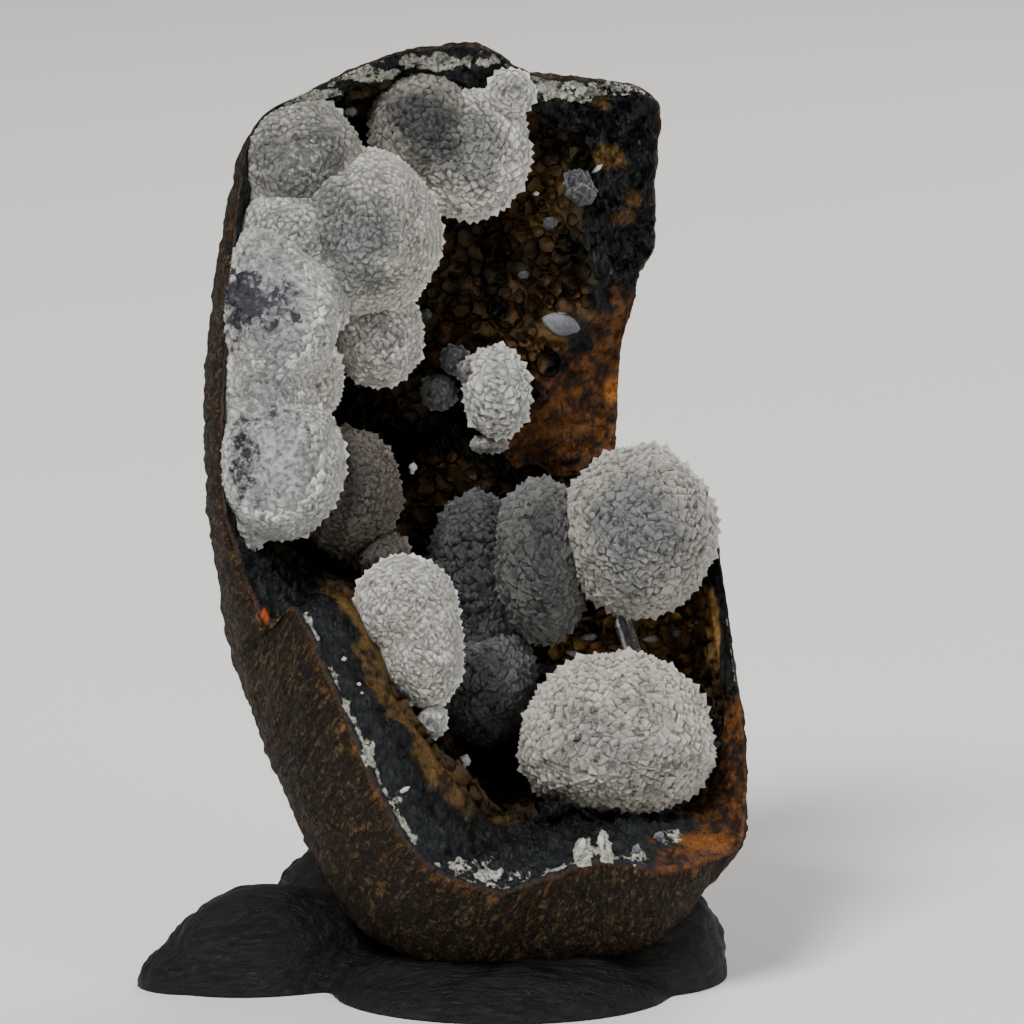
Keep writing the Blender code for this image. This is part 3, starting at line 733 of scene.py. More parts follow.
def nodule_mesh(shape):
    """The finely meshed nodule with its relief, colours and gloss."""
    base = mesh_from("nodule_surface", shape.points, shape.faces())
    normals = read(base.vertex_normals, "vector", 3)
    closing = shape.ring < 3
    normals[closing] = normals[shape.ring == 3].mean(axis=0)
    views = shape.loops.reshape(-1, 3)
    tint = np.zeros((len(shape.points), 3))
    height, gloss, crust, facet = np.zeros((4, len(shape.points)))

    rind = shape.is_rind
    p = shape.points[rind]
    wave = noise_at(p, 8.0)
    ridges = noise_at(shape.bark[rind], 1.7, 3, 5.0)
    pocks = noise_at(p, 1.3, 2, 25.0)
    lip_line = np.exp(-((shape.from_rim[rind] / 0.45) ** 2))
    height[rind] = MM * (0.30 * wave + 0.26 * ridges + 0.12 * pocks + 0.22 * lip_line)
    tint[rind] = blend(RIND_DARK, RIND_BROWN, smoothstep(-0.5, 0.7, 0.3 * wave + 0.8 * ridges + 0.3 * pocks))
    lit = 0.35 + 0.65 * smoothstep(-0.2, 0.4, noise_at(p, 4.0, 2, 27.0))
    tint[rind] = blend(tint[rind], RIM_LINE, 0.8 * lip_line * lit)
    facet[rind] = 0.5

    lining = shape.is_lining
    p = shape.points[lining]
    near_lip = smoothstep(0, 3, shape.ring[lining] - shape.lip)
    swell = 0.5 * noise_at(p, 6.0, 2, 6.0) + 0.2 * noise_at(p, 1.8, 2, 7.0)
    height[lining] = MM * near_lip * (swell - 0.2) * np.maximum(0.5, shape.room[lining])
    broad = noise_at(p, 12.0, 2, 3.0) + 0.5 * noise_at(p, 2.5, 2, 4.0)
    colour = blend(OLIVE, MUSTARD, smoothstep(-0.5, 0.6, broad))
    colour = blend(colour, RUST, 0.5 * smoothstep(0.3, 0.6, noise_at(p, 4.0, 2, 14.0)))
    dark = smoothstep(0.25, 0.45, noise_at(p, 7.0, 3, 9.0))
    tint[lining] = blend(colour, PITCH_BLACK, dark)
    gloss[lining] = 0.66 + 0.3 * dark
    facet[lining] = 0.12 + 0.88 * dark

    face = shape.is_face
    p = shape.points[face]
    across, here = shape.across[face], shape.station[face]
    pale_width, hackly = shape.pale_width[here], shape.hackly[here]
    rough = noise_at(p, 2.2, 4, 1.0)
    steps = facets(p, 1.1, 4.0) - 0.5
    middle = np.sin(math.pi * np.clip(across, 0, 0.999)) ** 0.5
    groove = np.exp(-(((across - 0.07) / 0.035) ** 2))
    height[face] = MM * ((0.3 + 0.5 * hackly) * (rough + steps) * middle * shape.room[face] - 0.35 * groove)
    pitchy = np.clip(smoothstep(0.35, 0.75, across + 0.2 * rough) + hackly, 0, 1)
    colour = blend(BLUE_BLACK, PITCH_BLACK, pitchy)
    lip_edge = 0.72 - 0.20 * noise_at(p, 4.0, 3, 17.0)
    crumbs = 1 - 0.8 * smoothstep(0.1, 0.4, noise_at(p, 1.4, 3, 19.0))
    lip = shape.mustard[here] * smoothstep(lip_edge, lip_edge + 0.05, across) * crumbs
    colour = blend(colour, MUSTARD, lip)
    mottle = 0.5 * noise_at(p, 4.0, 3, 8.0) + 0.8 * noise_at(p, 0.9, 2, 18.0)
    rust = blend(OCHRE_DARK, OCHRE, smoothstep(-0.32, 0.36, mottle))
    ochre_share = smoothstep(0.35, 0.65, shape.ochre[here] + 0.25 * rough)
    colour = colour * (1 - ochre_share)[:, None] + rust * ochre_share[:, None]
    colour = blend(colour, RIM_LINE, 0.8 * (1 - smoothstep(0.01, 0.05, across)))
    tint[face] = colour
    inside = smoothstep(0.07, 0.12, across)
    patchy = np.clip(0.40 + 0.35 * pale_width + 0.5 * noise_at(p, 4.0, 3, 15.0), 0.15, 0.68)
    edging = 1 - smoothstep(0.5, 1.0, across / np.maximum(pale_width, 0.01))
    crust[face] = shape.pale[here] * inside * edging * patchy
    gloss[face] = np.clip(0.70 + 0.25 * hackly - 0.55 * ochre_share - 0.25 * lip, 0, 1)
    facet[face] = np.clip(0.55 + 0.45 * hackly - 0.2 * lip, 0, 1)

    # The lining next to a mustard lip is as bright as the lip.
    near = lining & (shape.ring < shape.lip + 8)
    share = shape.mustard[shape.station[near]] * (1 - smoothstep(3, 8, shape.ring[near] - shape.lip))
    tint[near] = blend(tint[near], MUSTARD, share)

    ragged = noise_at(shape.points, 2.5, 3, 12.0)
    ledge = spot_share(views, LEDGE, ragged) * (shape.across > 0)
    height += MM * ledge * (0.8 + 0.9 * noise_at(shape.points, 1.1, 3, 23.0))
    tint = blend(tint, PITCH_BLACK, ledge)
    facet = np.maximum(facet, ledge)
    # Colour spots, among them painted light on lumps in shade and painted shade for two holes.
    for spot in SPOTS:
        share = spot_share(views, spot, ragged) * (shape.across > 0)
        tint = blend(tint, spot[4], share)
        gloss *= 1 - 0.5 * share * (max(spot[4]) > 0.02)
    for spot in CRUST_SPOTS:
        crust = np.maximum(crust, spot[4] * spot_share(views, spot, ragged) * (shape.across > 0))

    moved = shape.points + normals * height[:, None]
    base.vertices.foreach_set("co", moved.astype(np.float32).ravel())
    base.update()
    paint(base, "tint", np.clip(tint, 0, 1))
    for name, values in (("gloss", gloss), ("rind", rind), ("crust", crust), ("facet", facet)):
        grade(base, name, values)
    layer = base.attributes.new("bark", "FLOAT_VECTOR", "POINT")
    layer.data.foreach_set("vector", (shape.bark / MM).astype(np.float32).ravel())
    return base


# Rosettes

FRONT = Vector((0, -COS_TILT, SIN_TILT))
BEIGE = (0.86, 0.8, 0.7)
PALE_BEIGE = (0.9, 0.85, 0.76)
WHITISH = (0.9, 0.89, 0.85)
CREAM = (0.76, 0.71, 0.63)
PALE_CREAM = (0.88, 0.83, 0.74)
SILVER = (0.155, 0.163, 0.165)
SLATE = (0.018, 0.02, 0.021)


class Ball:
    """One rosette's ball.

    centre is its u, v, d, radii its half-widths and tip the size of its crystal tips, in millimetres. middle
    and fringe are the colours of its front and of its edge, and worn is how far its tips are rubbed away. A
    boxy below 2 makes it a lens, roll turns it in the view, and base is how tall its lower half is next to
    its upper half.
    """

    def __init__(self, centre, radii, tip, middle, fringe, worn=0.0, roll=0.0, boxy=2.0, base=1.0):
        self.centre = place(*centre)
        self.radii = MM * np.array(radii)
        self.tip = tip * MM
        self.middle, self.fringe, self.worn, self.boxy, self.base = middle, fringe, worn, boxy, base
        self.turn = np.array(Matrix.Rotation(-VIEW_TILT, 3, "X") @ Matrix.Rotation(roll, 3, "Y"))
        self.anchor = self.centre + FRONT * (0.5 * min(self.radii))
        self.wobble = 7.0 * centre[0] + centre[1]

    def out(self, directions):
        """World points on the ball for unit directions in its own axes."""
        squared = (np.abs(directions) ** self.boxy).sum(axis=1) ** (-1 / self.boxy)
        lobes = 1 + 0.05 * noise_at(directions * MM, 0.55, 2, self.wobble)
        shaped = directions * (squared * lobes)[:, None] * self.radii
        shaped[:, 2] *= np.where(shaped[:, 2] < 0, self.base, 1)
        return shaped @ self.turn.T + np.array(self.centre)

    def normals(self, directions):
        flat = np.sign(directions) * np.abs(directions) ** (self.boxy - 1) / self.radii
        flat[:, 2] /= np.where(flat[:, 2] < 0, self.base, 1)
        return unit(flat) @ self.turn.T

    def depth_in(self, points):
        """1 at the ball's surface and less inside it."""
        local = (points - np.array(self.centre)) @ self.turn
        local[:, 2] /= np.where(local[:, 2] < 0, self.base, 1)
        return (np.abs(local / self.radii) ** self.boxy).sum(axis=1) ** (1 / self.boxy)

    def colours(self, points, normals):
        """Grey where it faces the front, paler round the fringe: partly the whiter thin crystals of its edge,
        and partly painted light shining through them.
        """
        patch = noise_at(points, 4.0, 3, 2.0)
        away = np.arccos(np.clip(normals @ np.array(FRONT), -1, 1))
        return blend(self.middle, self.fringe, smoothstep(0.25, 1.0, away + 0.35 * patch))


UPPER_ROSETTES = [
    Ball((-15.4, 27.7, -1), (8.4, 7.5, 8.8), 0.9, (0.2, 0.206, 0.205), BEIGE, worn=0.52),
    Ball((-21.4, 34.4, -2), (6.8, 5.6, 7.2), 0.9, (0.12, 0.12, 0.115), (0.42, 0.4, 0.36), worn=0.52),
    Ball((-8.9, 38.4, 3), (5.6, 4.5, 5.8), 0.95, (0.034, 0.036, 0.036), (0.26, 0.245, 0.21), worn=0.3),
    Ball((-4.2, 35.9, 4), (6.2, 4.5, 6.9), 0.95, (0.2, 0.197, 0.185), PALE_BEIGE, worn=0.2),
    Ball((-6.8, 36.8, 3.5), (5.2, 4.5, 5.6), 0.95, (0.05, 0.054, 0.054), (0.5, 0.48, 0.43), worn=0.3),
    Ball((-0.1, 41.9, 2), (2.5, 2.5, 2.6), 0.9, (0.56, 0.54, 0.53), PALE_BEIGE, worn=0.5),
    Ball((-13.4, 17.7, 1), (4.6, 4.5, 5.4), 0.95, (0.27, 0.26, 0.24), PALE_BEIGE, worn=0.42),
    Ball((-22.2, 27.2, -3.4), (5.6, 5, 6), 0.9, (0.46, 0.46, 0.45), WHITISH, worn=0.6),
    Ball((-26.4, 12, -5.4), (3.2, 4.6, 16.5), 0.85, (0.62, 0.62, 0.6), WHITISH, worn=0.6),
    Ball((-23.6, 19.6, -6), (6.4, 6, 7.8), 0.9, (0.38, 0.4, 0.41), WHITISH, worn=0.6),
    Ball((-20.8, 13.4, -3), (4.1, 4.5, 4.8), 0.95, (0.26, 0.26, 0.25), BEIGE, worn=0.2),
    Ball((-23.4, 4.8, -6), (6.8, 6, 7.7), 0.9, (0.5, 0.52, 0.53), WHITISH, worn=0.6),
    Ball((-24.6, 12.2, -5.6), (5.2, 5, 4.4), 0.85, (0.44, 0.45, 0.46), WHITISH, worn=0.6),
    Ball((-24.4, 24, -5.4), (4.6, 5.2, 5), 0.85, (0.52, 0.53, 0.53), WHITISH, worn=0.6),
    Ball((-19.6, 21.8, -3.6), (3.8, 4.4, 4.8), 0.85, (0.4, 0.42, 0.43), (0.62, 0.62, 0.6), worn=0.6),
    Ball((-16.4, 2, 0), (5.4, 5.5, 6.6), 0.85, (0.036, 0.031, 0.024), (0.085, 0.07, 0.05)),
    Ball((-12.8, -4.5, 0), (2.8, 3.5, 2.8), 0.85, (0.04, 0.034, 0.027), (0.085, 0.07, 0.05)),
]
MIDDLE_ROSETTE = [
    Ball((-1.5, 12, 4), (3.6, 3.8, 4.8), 1.05, (0.52, 0.51, 0.49), (0.64, 0.62, 0.58), worn=0.2, roll=-0.1),
    Ball((-5.7, 15.2, 6), (1.5, 1.6, 1.6), 0.9, (0.14, 0.15, 0.165), (0.22, 0.22, 0.24), worn=0.85),
    Ball((-4.4, 14, 3.4), (1.2, 1.4, 1.3), 0.8, (0.22, 0.21, 0.23), (0.32, 0.3, 0.3), worn=0.8),
    Ball((-2.3, 6.8, 6), (1.9, 2, 1), 0.7, (0.24, 0.21, 0.18), (0.4, 0.37, 0.34), worn=0.4),
]
RIGHT_ROSETTES = [
    Ball((12.7, -2, 3), (8, 8, 8.8), 1.05, SILVER, (0.34, 0.32, 0.28)),
    Ball((3, -4.8, 5), (5.2, 7, 8.7), 1, (0.032, 0.035, 0.036), (0.1, 0.1, 0.095)),
    Ball((-3.4, -8, 8), (5.9, 5.5, 10.2), 1, SLATE, (0.05, 0.05, 0.048)),
    Ball((-3, -12.8, 8), (5, 5.3, 6.4), 1, SLATE, (0.05, 0.05, 0.048)),
    Ball((-2.8, -16.6, 7), (5.4, 5.5, 6.8), 1, (0.05, 0.054, 0.056), (0.11, 0.11, 0.11), worn=0.2),
]
LEFT_ROSETTE = [
    Ball((-8.8, -11.4, -9), (3.7, 4.5, 6.6), 0.8, CREAM, PALE_CREAM, worn=0.4, roll=-0.12),
    Ball((-10.7, -9.5, -9), (5.2, 4.6, 5.2), 0.8, (0.74, 0.69, 0.61), (0.86, 0.81, 0.72), worn=0.4),
    Ball((-9.2, -13.4, -9), (4.3, 4.4, 6.2), 0.8, CREAM, PALE_CREAM, worn=0.4, roll=-0.25),
    Ball((-7.9, -20.8, -8.5), (1.5, 2.4, 1.9), 0.8, (0.52, 0.52, 0.53), WHITISH, worn=0.4),
]
LOWER_ROSETTE = [
    Ball((10.5, -23.8, 0), (10.1, 8.5, 9.9), 1.1, (0.32, 0.3, 0.275), (0.54, 0.495, 0.425), base=0.68),
]
SMALL_ROSETTE = [Ball((-7.4, 12, 7), (1.9, 2.4, 1.9), 0.9, (0.17, 0.18, 0.2), (0.26, 0.26, 0.28), worn=0.85)]
CORNER_ROSETTE = [
    Ball((6.6, 33.2, 5), (1.3, 1.6, 1.2), 1.1, (0.028, 0.03, 0.033), (0.055, 0.058, 0.062), worn=0.2),
    Ball((7, 32.1, 4.6), (1.3, 1.5, 0.9), 1.1, (0.035, 0.038, 0.042), (0.08, 0.082, 0.086), worn=0.2),
]
GREY = (0.11, 0.118, 0.13)
LENS_CRYSTAL = [
    Ball((4.9, 18.8, 6.4), (2, 0.8, 1.2), 0.8, GREY, (0.2, 0.21, 0.22), worn=1, roll=0.3, boxy=1.5),
]

# Navy-black patches worn through the upper rosettes: u, v, half-width, half-height and depth of colour.
DARK_PATCHES = [
    (-26.8, 21.2, 3, 4.8, 0.95),
    (-23.6, 20.6, 4.4, 4, 0.68),
    (-27.6, 17.4, 1.6, 3, 0.66),
    (-23.4, 24.6, 2.4, 1.6, 0.56),
    (-26.8, 5, 2.8, 8, 0.7),
    (-23.5, 9.8, 3, 3, 0.58),
    (-21, 35.4, 3, 3.2, 0.46),
]


def icosphere(detail):
    bm = bmesh.new()
    bmesh.ops.create_icosphere(bm, subdivisions=detail, radius=1)
    points = np.array([v.co for v in bm.verts])
    faces = [[v.index for v in f.verts] for f in bm.faces]
    bm.free()
    return points, faces


def even_directions(count, rng):
    """Unit vectors spread evenly over a sphere, each pushed off its place a little."""
    i = np.arange(count) + 0.5
    polar = np.arccos(1 - 2 * i / count)
    turn = math.pi * (1 + 5**0.5) * i
    made = np.stack([np.cos(turn) * np.sin(polar), np.sin(turn) * np.sin(polar), np.cos(polar)], axis=1)
    return unit(made + rng.normal(0, 0.40 * math.sqrt(4 / count), made.shape))


def rhombohedron():
    """A cube stood on its corner, nearly the shape of a chalcedony tip, with its apex at the origin."""
    rise, reach = 1 / math.sqrt(3), math.sqrt(2 / 3)
    corners = [(0, 0, 0)]
    for k in range(3):
        angle = math.tau * k / 3
        corners.append((reach * math.cos(angle + math.pi / 3), reach * math.sin(angle + math.pi / 3), -rise))
    for k in range(3):
        angle = math.tau * k / 3
        corners.append((reach * math.cos(angle), reach * math.sin(angle), -2 * rise))
    corners.append((0, 0, -3 * rise))
    faces = []
    for k in range(3):
        before, this = 1 + (k + 2) % 3, 1 + k
        below, after = 4 + k, 4 + (k + 1) % 3
        faces += [(0, before, below), (0, below, this), (this, below, 7), (this, 7, after)]
    return np.array(corners), faces


# Painted light and shade on a tip at each of its corners, from the apex down: a lighter apex, and darker
# lower corners where the tips crowd together.
TIP_PAINTED_SHADE = np.array([1.10, 1, 1, 1, 0.85, 0.85, 0.85, 0.85])


def rosette_mesh(name, balls, wall, rng):
    """Rosettes that grew into each other: balls set all over with crystal tips."""
    gathered = Gathered()
    sphere, sphere_faces = icosphere(BALL_DETAIL)
    for ball in balls:
        normals, points = ball.normals(sphere), ball.out(sphere)
        if ball.worn < 1:
            sunk = 0.32 - 0.26 * ball.worn - 0.10 * noise_at(points, 1.6, 2, 33.0)
            points -= normals * (ball.tip * sunk)[:, None]
        # Painted shade: the ball between the tips a little darker than the tips on it.
        colours = ball.colours(points, normals) * 0.92
        gathered.add(flush_with_rim(kept_on_wall(ball, points, wall)), sphere_faces, colours)
    for ball in balls:
        if ball.worn < 1:
            crystal_tips(gathered, ball, balls, wall, rng)
            edge_teeth(gathered, ball, balls, wall, rng)
    mesh = gathered.mesh(name)
    grade(mesh, "navy", navy_share(np.vstack(gathered.points)))
    return mesh


def crystal_tips(gathered, ball, balls, wall, rng):
    """Tips all over a ball, leaning away from the front, where no other ball and no wall covers them."""
    tip_points, tip_faces = rhombohedron()
    front = np.array(FRONT)
    # A near formula for an ellipsoid's area.
    a, b, c = ball.radii
    power = 1.6
    mean = (a * b) ** power / 3 + (a * c) ** power / 3 + (b * c) ** power / 3
    area = 4 * math.pi * mean ** (1 / power)
    directions = even_directions(int(area / (TIP_ROOM * ball.tip**2)), rng)
    seats, axes = ball.out(directions), ball.normals(directions)
    keep = np.ones(len(seats), bool)
    for other in balls:
        if other is not ball:
            keep &= other.depth_in(seats) > 0.95
    for i in np.flatnonzero(keep):
        keep[i] = in_the_open(ball, seats[i], wall)
    seats, axes = seats[keep], axes[keep]
    count = len(seats)
    colours = ball.colours(seats, axes)
    pressed = flush_with_rim(seats)
    axes = unit(axes + front * np.minimum(2, np.linalg.norm(pressed - seats, axis=1) / MM)[:, None])
    seats = pressed
    # Lean away from the front, most where the surface faces it.
    swirl = rng.normal(0, 0.14, seats.shape)
    swirl += 0.3 * (noise_at(seats, 4.0, 2, 3.0)[:, None] * np.roll(axes, 1, 1))
    away = -front + (axes @ front)[:, None] * axes + swirl
    away = unit(away - (away * axes).sum(axis=1)[:, None] * axes)
    polar = np.arccos(np.clip(axes @ front, -1, 1))
    lean = TIP_LEAN * np.clip(1 - polar / 1.5, 0, 1) + rng.normal(0, 0.09, count)
    lean = (lean * (1 - 0.8 * ball.worn))[:, None]
    up = axes * np.cos(lean) + away * np.sin(lean)
    side = unit(np.cross(up, away))
    spin = rng.normal(0, 0.16, count)[:, None]
    x = np.cross(up, side) * np.cos(spin) + side * np.sin(spin)
    y = np.cross(up, x)
    size = ball.tip * rng.uniform(*TIP_SIZES, count)
    rounded = (ball.worn > 0.25) | (rng.random(count) < SOFT_SHARE)
    edgewise = smoothstep(0.8, 1.5, polar)
    flat = (0.56 + 0.44 * edgewise) * (1 - 0.45 * ball.worn * rng.uniform(0.7, 1.0, count))
    raised = rng.normal(0, 0.035, count) * ball.tip * (1 - 0.6 * ball.worn)
    foot = seats + axes * raised[:, None]
    for i in range(count):
        turn = np.stack([x[i], y[i], up[i] * flat[i]])
        # Painted shade down each tip, on a random tone of its own.
        tones = np.outer(TIP_PAINTED_SHADE, colours[i] * rng.uniform(0.9, 1.08))
        gathered.add(tip_points * size[i] @ turn + foot[i], tip_faces, tones, rounded[i])


def edge_teeth(gathered, ball, balls, wall, rng):
    """Tips that stand out all round a ball's outline in the view, like the teeth of a saw."""
    tip_points, tip_faces = rhombohedron()
    outline = math.tau * MM * np.hypot(*(ball.radii[[0, 2]] / MM)) / math.sqrt(2)
    count = int(outline / (1.0 * ball.tip))
    angle = (np.arange(count) + rng.uniform(-0.3, 0.3, count)) * math.tau / count
    directions = unit(np.stack([np.cos(angle), rng.normal(0, 0.10, count), np.sin(angle)], axis=1))
    seats, axes = ball.out(directions), ball.normals(directions)
    for seat, axis in zip(seats, axes):
        if any(other is not ball and other.depth_in(seat[None, :])[0] < 0.97 for other in balls):
            continue
        if not in_the_open(ball, seat, wall):
            continue
        up = Vector(axis) + Vector(rng.normal(0, 0.12, 3))
        up = (up - 0.85 * up.dot(FRONT) * FRONT).normalized()
        side = up.cross(FRONT).normalized()
        face = side.cross(up)
        size = ball.tip * rng.uniform(*TOOTH_SIZES) * (1.25 - 0.25 * ball.worn)
        turn = np.array([face, -side, up * rng.uniform(1.1, 1.5) * (1 - 0.3 * ball.worn)])
        foot = flush_with_rim(seat[None, :])[0] + np.array(up) * size * rng.uniform(0.05, 0.32)
        tones = np.tile(np.array(ball.fringe) * rng.uniform(0.95, 1.12), (len(tip_points), 1))
        gathered.add(tip_points * size @ turn + foot, tip_faces, tones, soft=False)


def flush_with_rim(points):
    """Points pressed back where they stand out past the left rim or before it, as if broken off with it."""
    u, v, d = views_of(points)
    edge = np.array(sorted(UPPER_LEFT_EDGE, key=lambda station: station[1]), float)
    rim_u, rim_d = (np.interp(v, edge[:, 1], edge[:, axis]) for axis in (0, 2))
    past = np.maximum(0, rim_u + 0.3 - u)
    by_rim = 1 - smoothstep(10, 13, u - rim_u)
    rim_foot, rim_head = -8, 38
    level = (v > rim_foot) & (v < rim_head)
    before = np.maximum(0, rim_d - 0.9 - d) * by_rim * level
    return places(np.stack([u + 0.9 * past * level, v, d + 0.85 * before], axis=1))


def navy_share(points):
    """How far each point is in a navy patch."""
    u, v, _ = views_of(points)
    ragged = noise_at(points, 1.6, 3, 20.0)
    shares = np.zeros(len(points))
    for mid_u, mid_v, half_u, half_v, depth in DARK_PATCHES:
        away = np.hypot((u - mid_u) / half_u, (v - mid_v) / half_v)
        shares = np.maximum(shares, depth * (1 - smoothstep(0.4, 1.2, away + 0.35 * ragged)))
    return shares


def views_of(points):
    """The u and v at which the view shows world points, and their depth d."""
    y, z = points[:, 1] / MM, points[:, 2] / MM - VIEW_HEIGHT
    depth = y * COS_TILT - z * SIN_TILT
    spread = 1 + depth / VIEW_DISTANCE
    return points[:, 0] / MM / spread, (y * SIN_TILT + z * COS_TILT) / spread, depth


def kept_on_wall(ball, points, wall):
    """Points of a ball's surface, drawn back to just under the wall where the wall comes first."""
    depth = 0.6 * MM
    kept = points.copy()
    for i, p in enumerate(points):
        way = Vector(p) - ball.anchor
        hit, _, _, distance = wall.ray_cast(ball.anchor, way, way.length)
        if hit is not None:
            kept[i] = ball.anchor + way.normalized() * min(way.length, distance + depth)
    return kept


def in_the_open(ball, point, wall):
    """True where nothing of the wall lies between the ball's middle and a point on it."""
    way = Vector(point) - ball.anchor
    hit, _, _, _ = wall.ray_cast(ball.anchor, way, way.length)
    return hit is None


# Small crystals, by their place in the view: u, v, length, width, turn in degrees, form, colour.
WHITE = (0.58, 0.57, 0.54)
PINKISH = (0.52, 0.47, 0.47)
LILAC = (0.14, 0.14, 0.165)
SMOKE = (0.035, 0.037, 0.042)
SMALL_CRYSTALS = [
    (8.5, 34.3, 1.5, 0.55, 35, "lens", WHITE),
    (-9.9, 4.4, 1.3, 0.9, 80, "sceptre", WHITE),
    (3.8, 28.8, 1.4, 1.4, 0, "plate", SMOKE),
    (1.2, 23.6, 1.2, 1, 0, "plate", SMOKE),
    (2.4, 31.8, 0.8, 0.5, 10, "lens", WHITE),
    (13.9, -12.7, 2.1, 0.8, 0, "lens", WHITE),
    (7.7, -12.5, 2.2, 0.9, 5, "lens", PINKISH),
    (6.1, -14.2, 1.7, 0.8, -15, "lens", PINKISH),
    (9.7, -13.5, 0.9, 0.6, 30, "lens", SMOKE),
    (16.4, -12.1, 0.9, 0.9, 0, "plate", LILAC),
    (17.8, -11.8, 0.6, 0.4, 0, "lens", LILAC),
    (18.5, -11, 0.5, 0.4, 0, "lens", LILAC),
    (3.1, -15.7, 2.2, 1.6, 0, "plate", SMOKE),
    (1.3, -17.8, 0.9, 0.7, 40, "lens", SMOKE),
    (3.7, -17.3, 1.2, 0.6, 60, "lens", SMOKE),
    (-1.2, -22.2, 1.7, 0.5, 90, "lens", SMOKE),
    (-3, -15.6, 1.7, 1.7, 0, "plate", LILAC),
    (-4.8, -25, 2, 1.3, 70, "sceptre", WHITE),
    (-8.8, 19.7, 1.5, 1.3, 0, "plate", SMOKE),
    (-6.5, 15.6, 1.3, 1.2, 0, "plate", SMOKE),
    (-2.4, 6.6, 1.8, 1, 0, "lens", PINKISH),
    (-16.2, 40, 1.3, 1.1, 0, "plate", LILAC),
    (20.3, -23.4, 1.2, 0.8, 40, "plate", SMOKE),
    (-13.2, -4.2, 1.2, 1, 0, "plate", PINKISH),
    (-16.8, -14.7, 0.6, 0.5, 20, "lens", WHITE),
    (-15.3, -17.2, 0.5, 0.4, 0, "lens", WHITE),
    (-15, -18.1, 0.4, 0.3, 0, "lens", WHITE),
    (-10.8, -27.8, 1.5, 0.5, 32, "lens", WHITE),
    (7, -33.4, 1.8, 0.8, 80, "sceptre", WHITE),
    (8.9, -33, 2, 0.7, 95, "sceptre", WHITE),
    (12.4, -33.8, 1.5, 0.8, 75, "sceptre", LILAC),
    (14.6, -32.6, 1.5, 1, 60, "plate", LILAC),
]
FORMS = {
    # Rings of six corners from end to end: place along the length, and half-width.
    "lens": [(-0.5, 0), (-0.18, 0.8), (0.15, 1), (0.5, 0)],
    "plate": [(-0.5, 0.2), (-0.3, 0.85), (0.2, 1), (0.5, 0.45)],
    "sceptre": [(-0.5, 0.5), (-0.15, 0.6), (-0.05, 1), (0.2, 0.95), (0.5, 0)],
    "prism": [(-0.5, 0.95), (0.32, 1), (0.5, 0.25)],
}


def crystal_form(form, length, width, depth):
    """Corners and faces of a six-sided crystal along +Z."""
    corners, faces = [], []
    for along, reach in FORMS[form]:
        for k in range(6):
            angle = k * math.pi / 3
            across = reach * width * math.cos(angle) / 2
            corners.append((across, reach * depth * math.sin(angle) / 2, along * length))
    rings = len(FORMS[form])
    for ring in range(rings - 1):
        for k in range(6):
            after = (k + 1) % 6
            faces.append((ring * 6 + k, ring * 6 + after, ring * 6 + 6 + after, ring * 6 + 6 + k))
    faces.append(tuple(range(6))[::-1])
    faces.append(tuple(range((rings - 1) * 6, rings * 6)))
    return MM * np.array(corners), faces


def tree_of_faces(*meshes):
    bm = bmesh.new()
    for mesh in meshes:
        bm.from_mesh(mesh)
    made = BVHTree.FromBMesh(bm)
    bm.free()
    return made


def seen_at(u, v, wall):
    """Where the view's ray through u, v first meets the nodule."""
    eye = place(0, 0, 0) + FRONT * (VIEW_DISTANCE * MM)
    way = (place(u, v, 0) - eye).normalized()
    where, _, _, _ = wall.ray_cast(eye, way)
    return where


def scattered_crystals(wall, rng):
    """Single crystals sitting on the lining and on the broken face."""
    gathered = Gathered()
    for u, v, length, width, turn, form, colour in SMALL_CRYSTALS:
        where = seen_at(u, v, wall)
        if where is None:
            continue
        depth = width * (0.5 if form == "plate" else 0.75)
        made, sides = crystal_form(form, length, width, depth)
        roll = Matrix.Rotation(math.radians(90 - turn), 3, "Y")
        roll = roll @ Matrix.Rotation(rng.uniform(-0.3, 0.3), 3, "X")
        out = where + FRONT * ((0.5 * depth + 0.25) * MM)
        tones = np.tile(colour, (len(made), 1)) * rng.uniform(0.85, 1.1, (len(made), 1))
        gathered.add(made @ np.array(roll).T + np.array(out), sides, tones, soft=False)
    return gathered.mesh("scattered_crystals")


def clear_prism():
    """The clear crystal that stands between the right and the lowest rosette."""
    made, sides = crystal_form("prism", 6.6, 1.9, 1.9)
    foot, tip = place(12.8, -16.2, 1.5), place(10.7, -9.8, 3.0)
    way = (tip - foot).normalized()
    turn = np.array(way.to_track_quat("Z", "Y").to_matrix())
    return mesh_from("clear_prism", made @ turn.T + np.array((foot + tip) / 2), sides, smooth=False)


# Putty


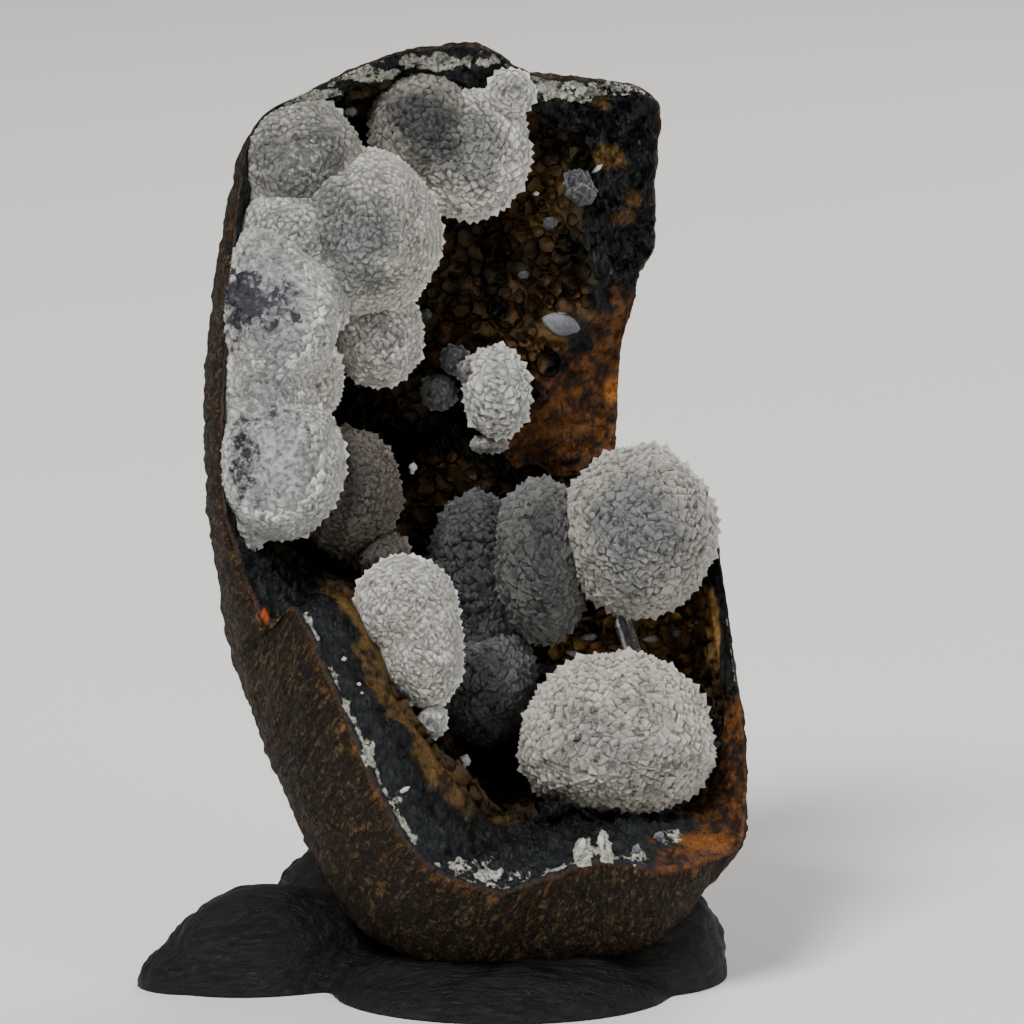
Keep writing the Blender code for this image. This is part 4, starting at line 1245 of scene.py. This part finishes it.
def putty_mesh():
    """Hand-pressed blobs, merged, creased and flat underneath."""
    blobs = [
        ((-1, -12, 0), (17, 13, 5.0), 0),
        ((-24, -6, 0), (12, 8, 9.5), 0.35),
        ((-32, -9, 0), (5.5, 4.5, 4), 0.1),
        ((-12, 4, 0), (14, 11, 14), 0.2),
        ((8, 5, 0), (12, 11, 12), 0),
        ((15.5, -6, 0), (6, 8, 9.5), -0.3),
    ]
    bm = bmesh.new()
    for where, radii, turn in blobs:
        made = bmesh.ops.create_icosphere(bm, subdivisions=4, radius=1)["verts"]
        matrix = Matrix.Translation(where) @ Matrix.Rotation(turn, 4, "Z") @ Matrix.Diagonal((*radii, 1))
        bmesh.ops.transform(bm, matrix=Matrix.Scale(MM, 4) @ matrix, verts=made)
    rough = bpy.data.meshes.new("putty blobs")
    bm.to_mesh(rough)
    bm.free()
    helper = shown("putty blobs", rough)
    merged = helper.modifiers.new("One lump", "REMESH")
    merged.mode = "VOXEL"
    merged.voxel_size = 0.55 * MM
    softened = helper.modifiers.new("Softened", "SMOOTH")
    softened.iterations = 12
    graph = bpy.context.evaluated_depsgraph_get()
    mesh = bpy.data.meshes.new_from_object(helper.evaluated_get(graph))
    bpy.data.objects.remove(helper)
    bm = bmesh.new()
    bm.from_mesh(mesh)
    everything = bm.verts[:] + bm.edges[:] + bm.faces[:]
    cut = bmesh.ops.bisect_plane(bm, geom=everything, plane_co=(0, 0, 0), plane_no=UP, clear_inner=True)
    edges = [e for e in cut["geom_cut"] if isinstance(e, bmesh.types.BMEdge)]
    bmesh.ops.contextual_create(bm, geom=edges)
    bm.normal_update()
    for vert in bm.verts:
        if vert.co.z > 0.2 * MM:
            folds = noise.fractal(Vector((vert.co.x * 0.45, vert.co.y, vert.co.z)) / (3.2 * MM), 0.6, 2.0, 4)
            vert.co += vert.normal * (0.45 * MM * folds * min(1, vert.co.z / (2 * MM)))
    bm.to_mesh(mesh)
    bm.free()
    mesh.polygons.foreach_set("use_smooth", [True] * len(mesh.polygons))
    return mesh


# Studio


def studio():
    """A pale floor, soft light and a camera at the photograph's angle."""
    mesh = bpy.data.meshes.new("floor")
    bm = bmesh.new()
    bmesh.ops.create_grid(bm, x_segments=1, y_segments=1, size=3)
    bm.to_mesh(mesh)
    bm.free()
    floor = shown("floor", mesh)
    made, tree, shader = new_material("Pale floor")
    connect(tree, shader, {"Base Color": (0.80, 0.79, 0.77, 1), "Roughness": 0.75})
    mesh.materials.append(made)

    world = bpy.data.worlds.new("Studio")
    world.use_nodes = True
    sky = world.node_tree.nodes["Background"]
    connect(world.node_tree, sky, {"Color": (1.0, 0.98, 0.95, 1), "Strength": 0.24})
    bpy.context.scene.world = world

    middle = Vector((0, 0, VIEW_HEIGHT * MM))
    for name, where, size, power in (
        ("key light", (-0.55, -0.85, 1.25), 0.5, 30.0),
        ("fill light", (1.10, -0.90, 0.50), 0.9, 9.0),
        ("back light", (0.50, 1.00, 1.10), 0.7, 12.0),
    ):
        light = bpy.data.lights.new(name, "AREA")
        light.size = size
        light.energy = power
        lamp = shown(name, light)
        lamp.location = where
        lamp.rotation_euler = (middle - Vector(where)).to_track_quat("-Z", "Y").to_euler()

    camera = shown("camera", bpy.data.cameras.new("camera"))
    camera.data.sensor_width = SENSOR
    camera.data.lens = SENSOR * VIEW_DISTANCE / VIEW_WIDTH
    camera.data.clip_start = 0.01
    camera.location = middle + FRONT * (VIEW_DISTANCE * MM)
    camera.rotation_euler = (-FRONT).to_track_quat("-Z", "Y").to_euler()
    bpy.context.scene.camera = camera


def main():
    rng = np.random.default_rng(SEED)
    noise.seed_set(SEED)
    stone = nodule_material()
    white = chalcedony_material("White chalcedony", 0.45)
    silver = chalcedony_material("Grey chalcedony", 0.38)

    shape = Nodule()
    surface = nodule_mesh(shape)
    piece("nodule_surface", surface, stone, "nodule", "nodule")
    wall = tree_of_faces(surface)

    grown = (
        ("upper_rosettes", UPPER_ROSETTES, white, "white_chalcedony"),
        ("middle_rosette", MIDDLE_ROSETTE, white, "white_chalcedony"),
        ("right_rosettes", RIGHT_ROSETTES, silver, "grey_chalcedony"),
        ("left_rosette", LEFT_ROSETTE, white, "white_chalcedony"),
        ("lower_rosette", LOWER_ROSETTE, white, "white_chalcedony"),
        ("small_rosette", SMALL_ROSETTE, silver, "grey_chalcedony"),
        ("corner_rosette", CORNER_ROSETTE, silver, "grey_chalcedony"),
        ("lens_crystal", LENS_CRYSTAL, silver, "grey_chalcedony"),
    )
    for name, rows, finish, slot in grown:
        crystals = name + "_crystals"
        piece(crystals, rosette_mesh(crystals, rows, wall, rng), finish, slot, name)
    balls = [ball for _, rows, _, _ in grown for ball in rows]
    lumps = lining_lumps(shape, surface, balls, rng)
    piece("lining_lumps", lumps, stone, "nodule")
    bumpy = tree_of_faces(surface, lumps)

    piece("scattered_crystals", scattered_crystals(bumpy, rng), white, "white_chalcedony")
    piece("clear_prism", clear_prism(), clear_crystal_material(), "grey_chalcedony")
    piece("putty_lump", putty_mesh(), putty_material(), "putty", "putty_base")
    studio()


main()
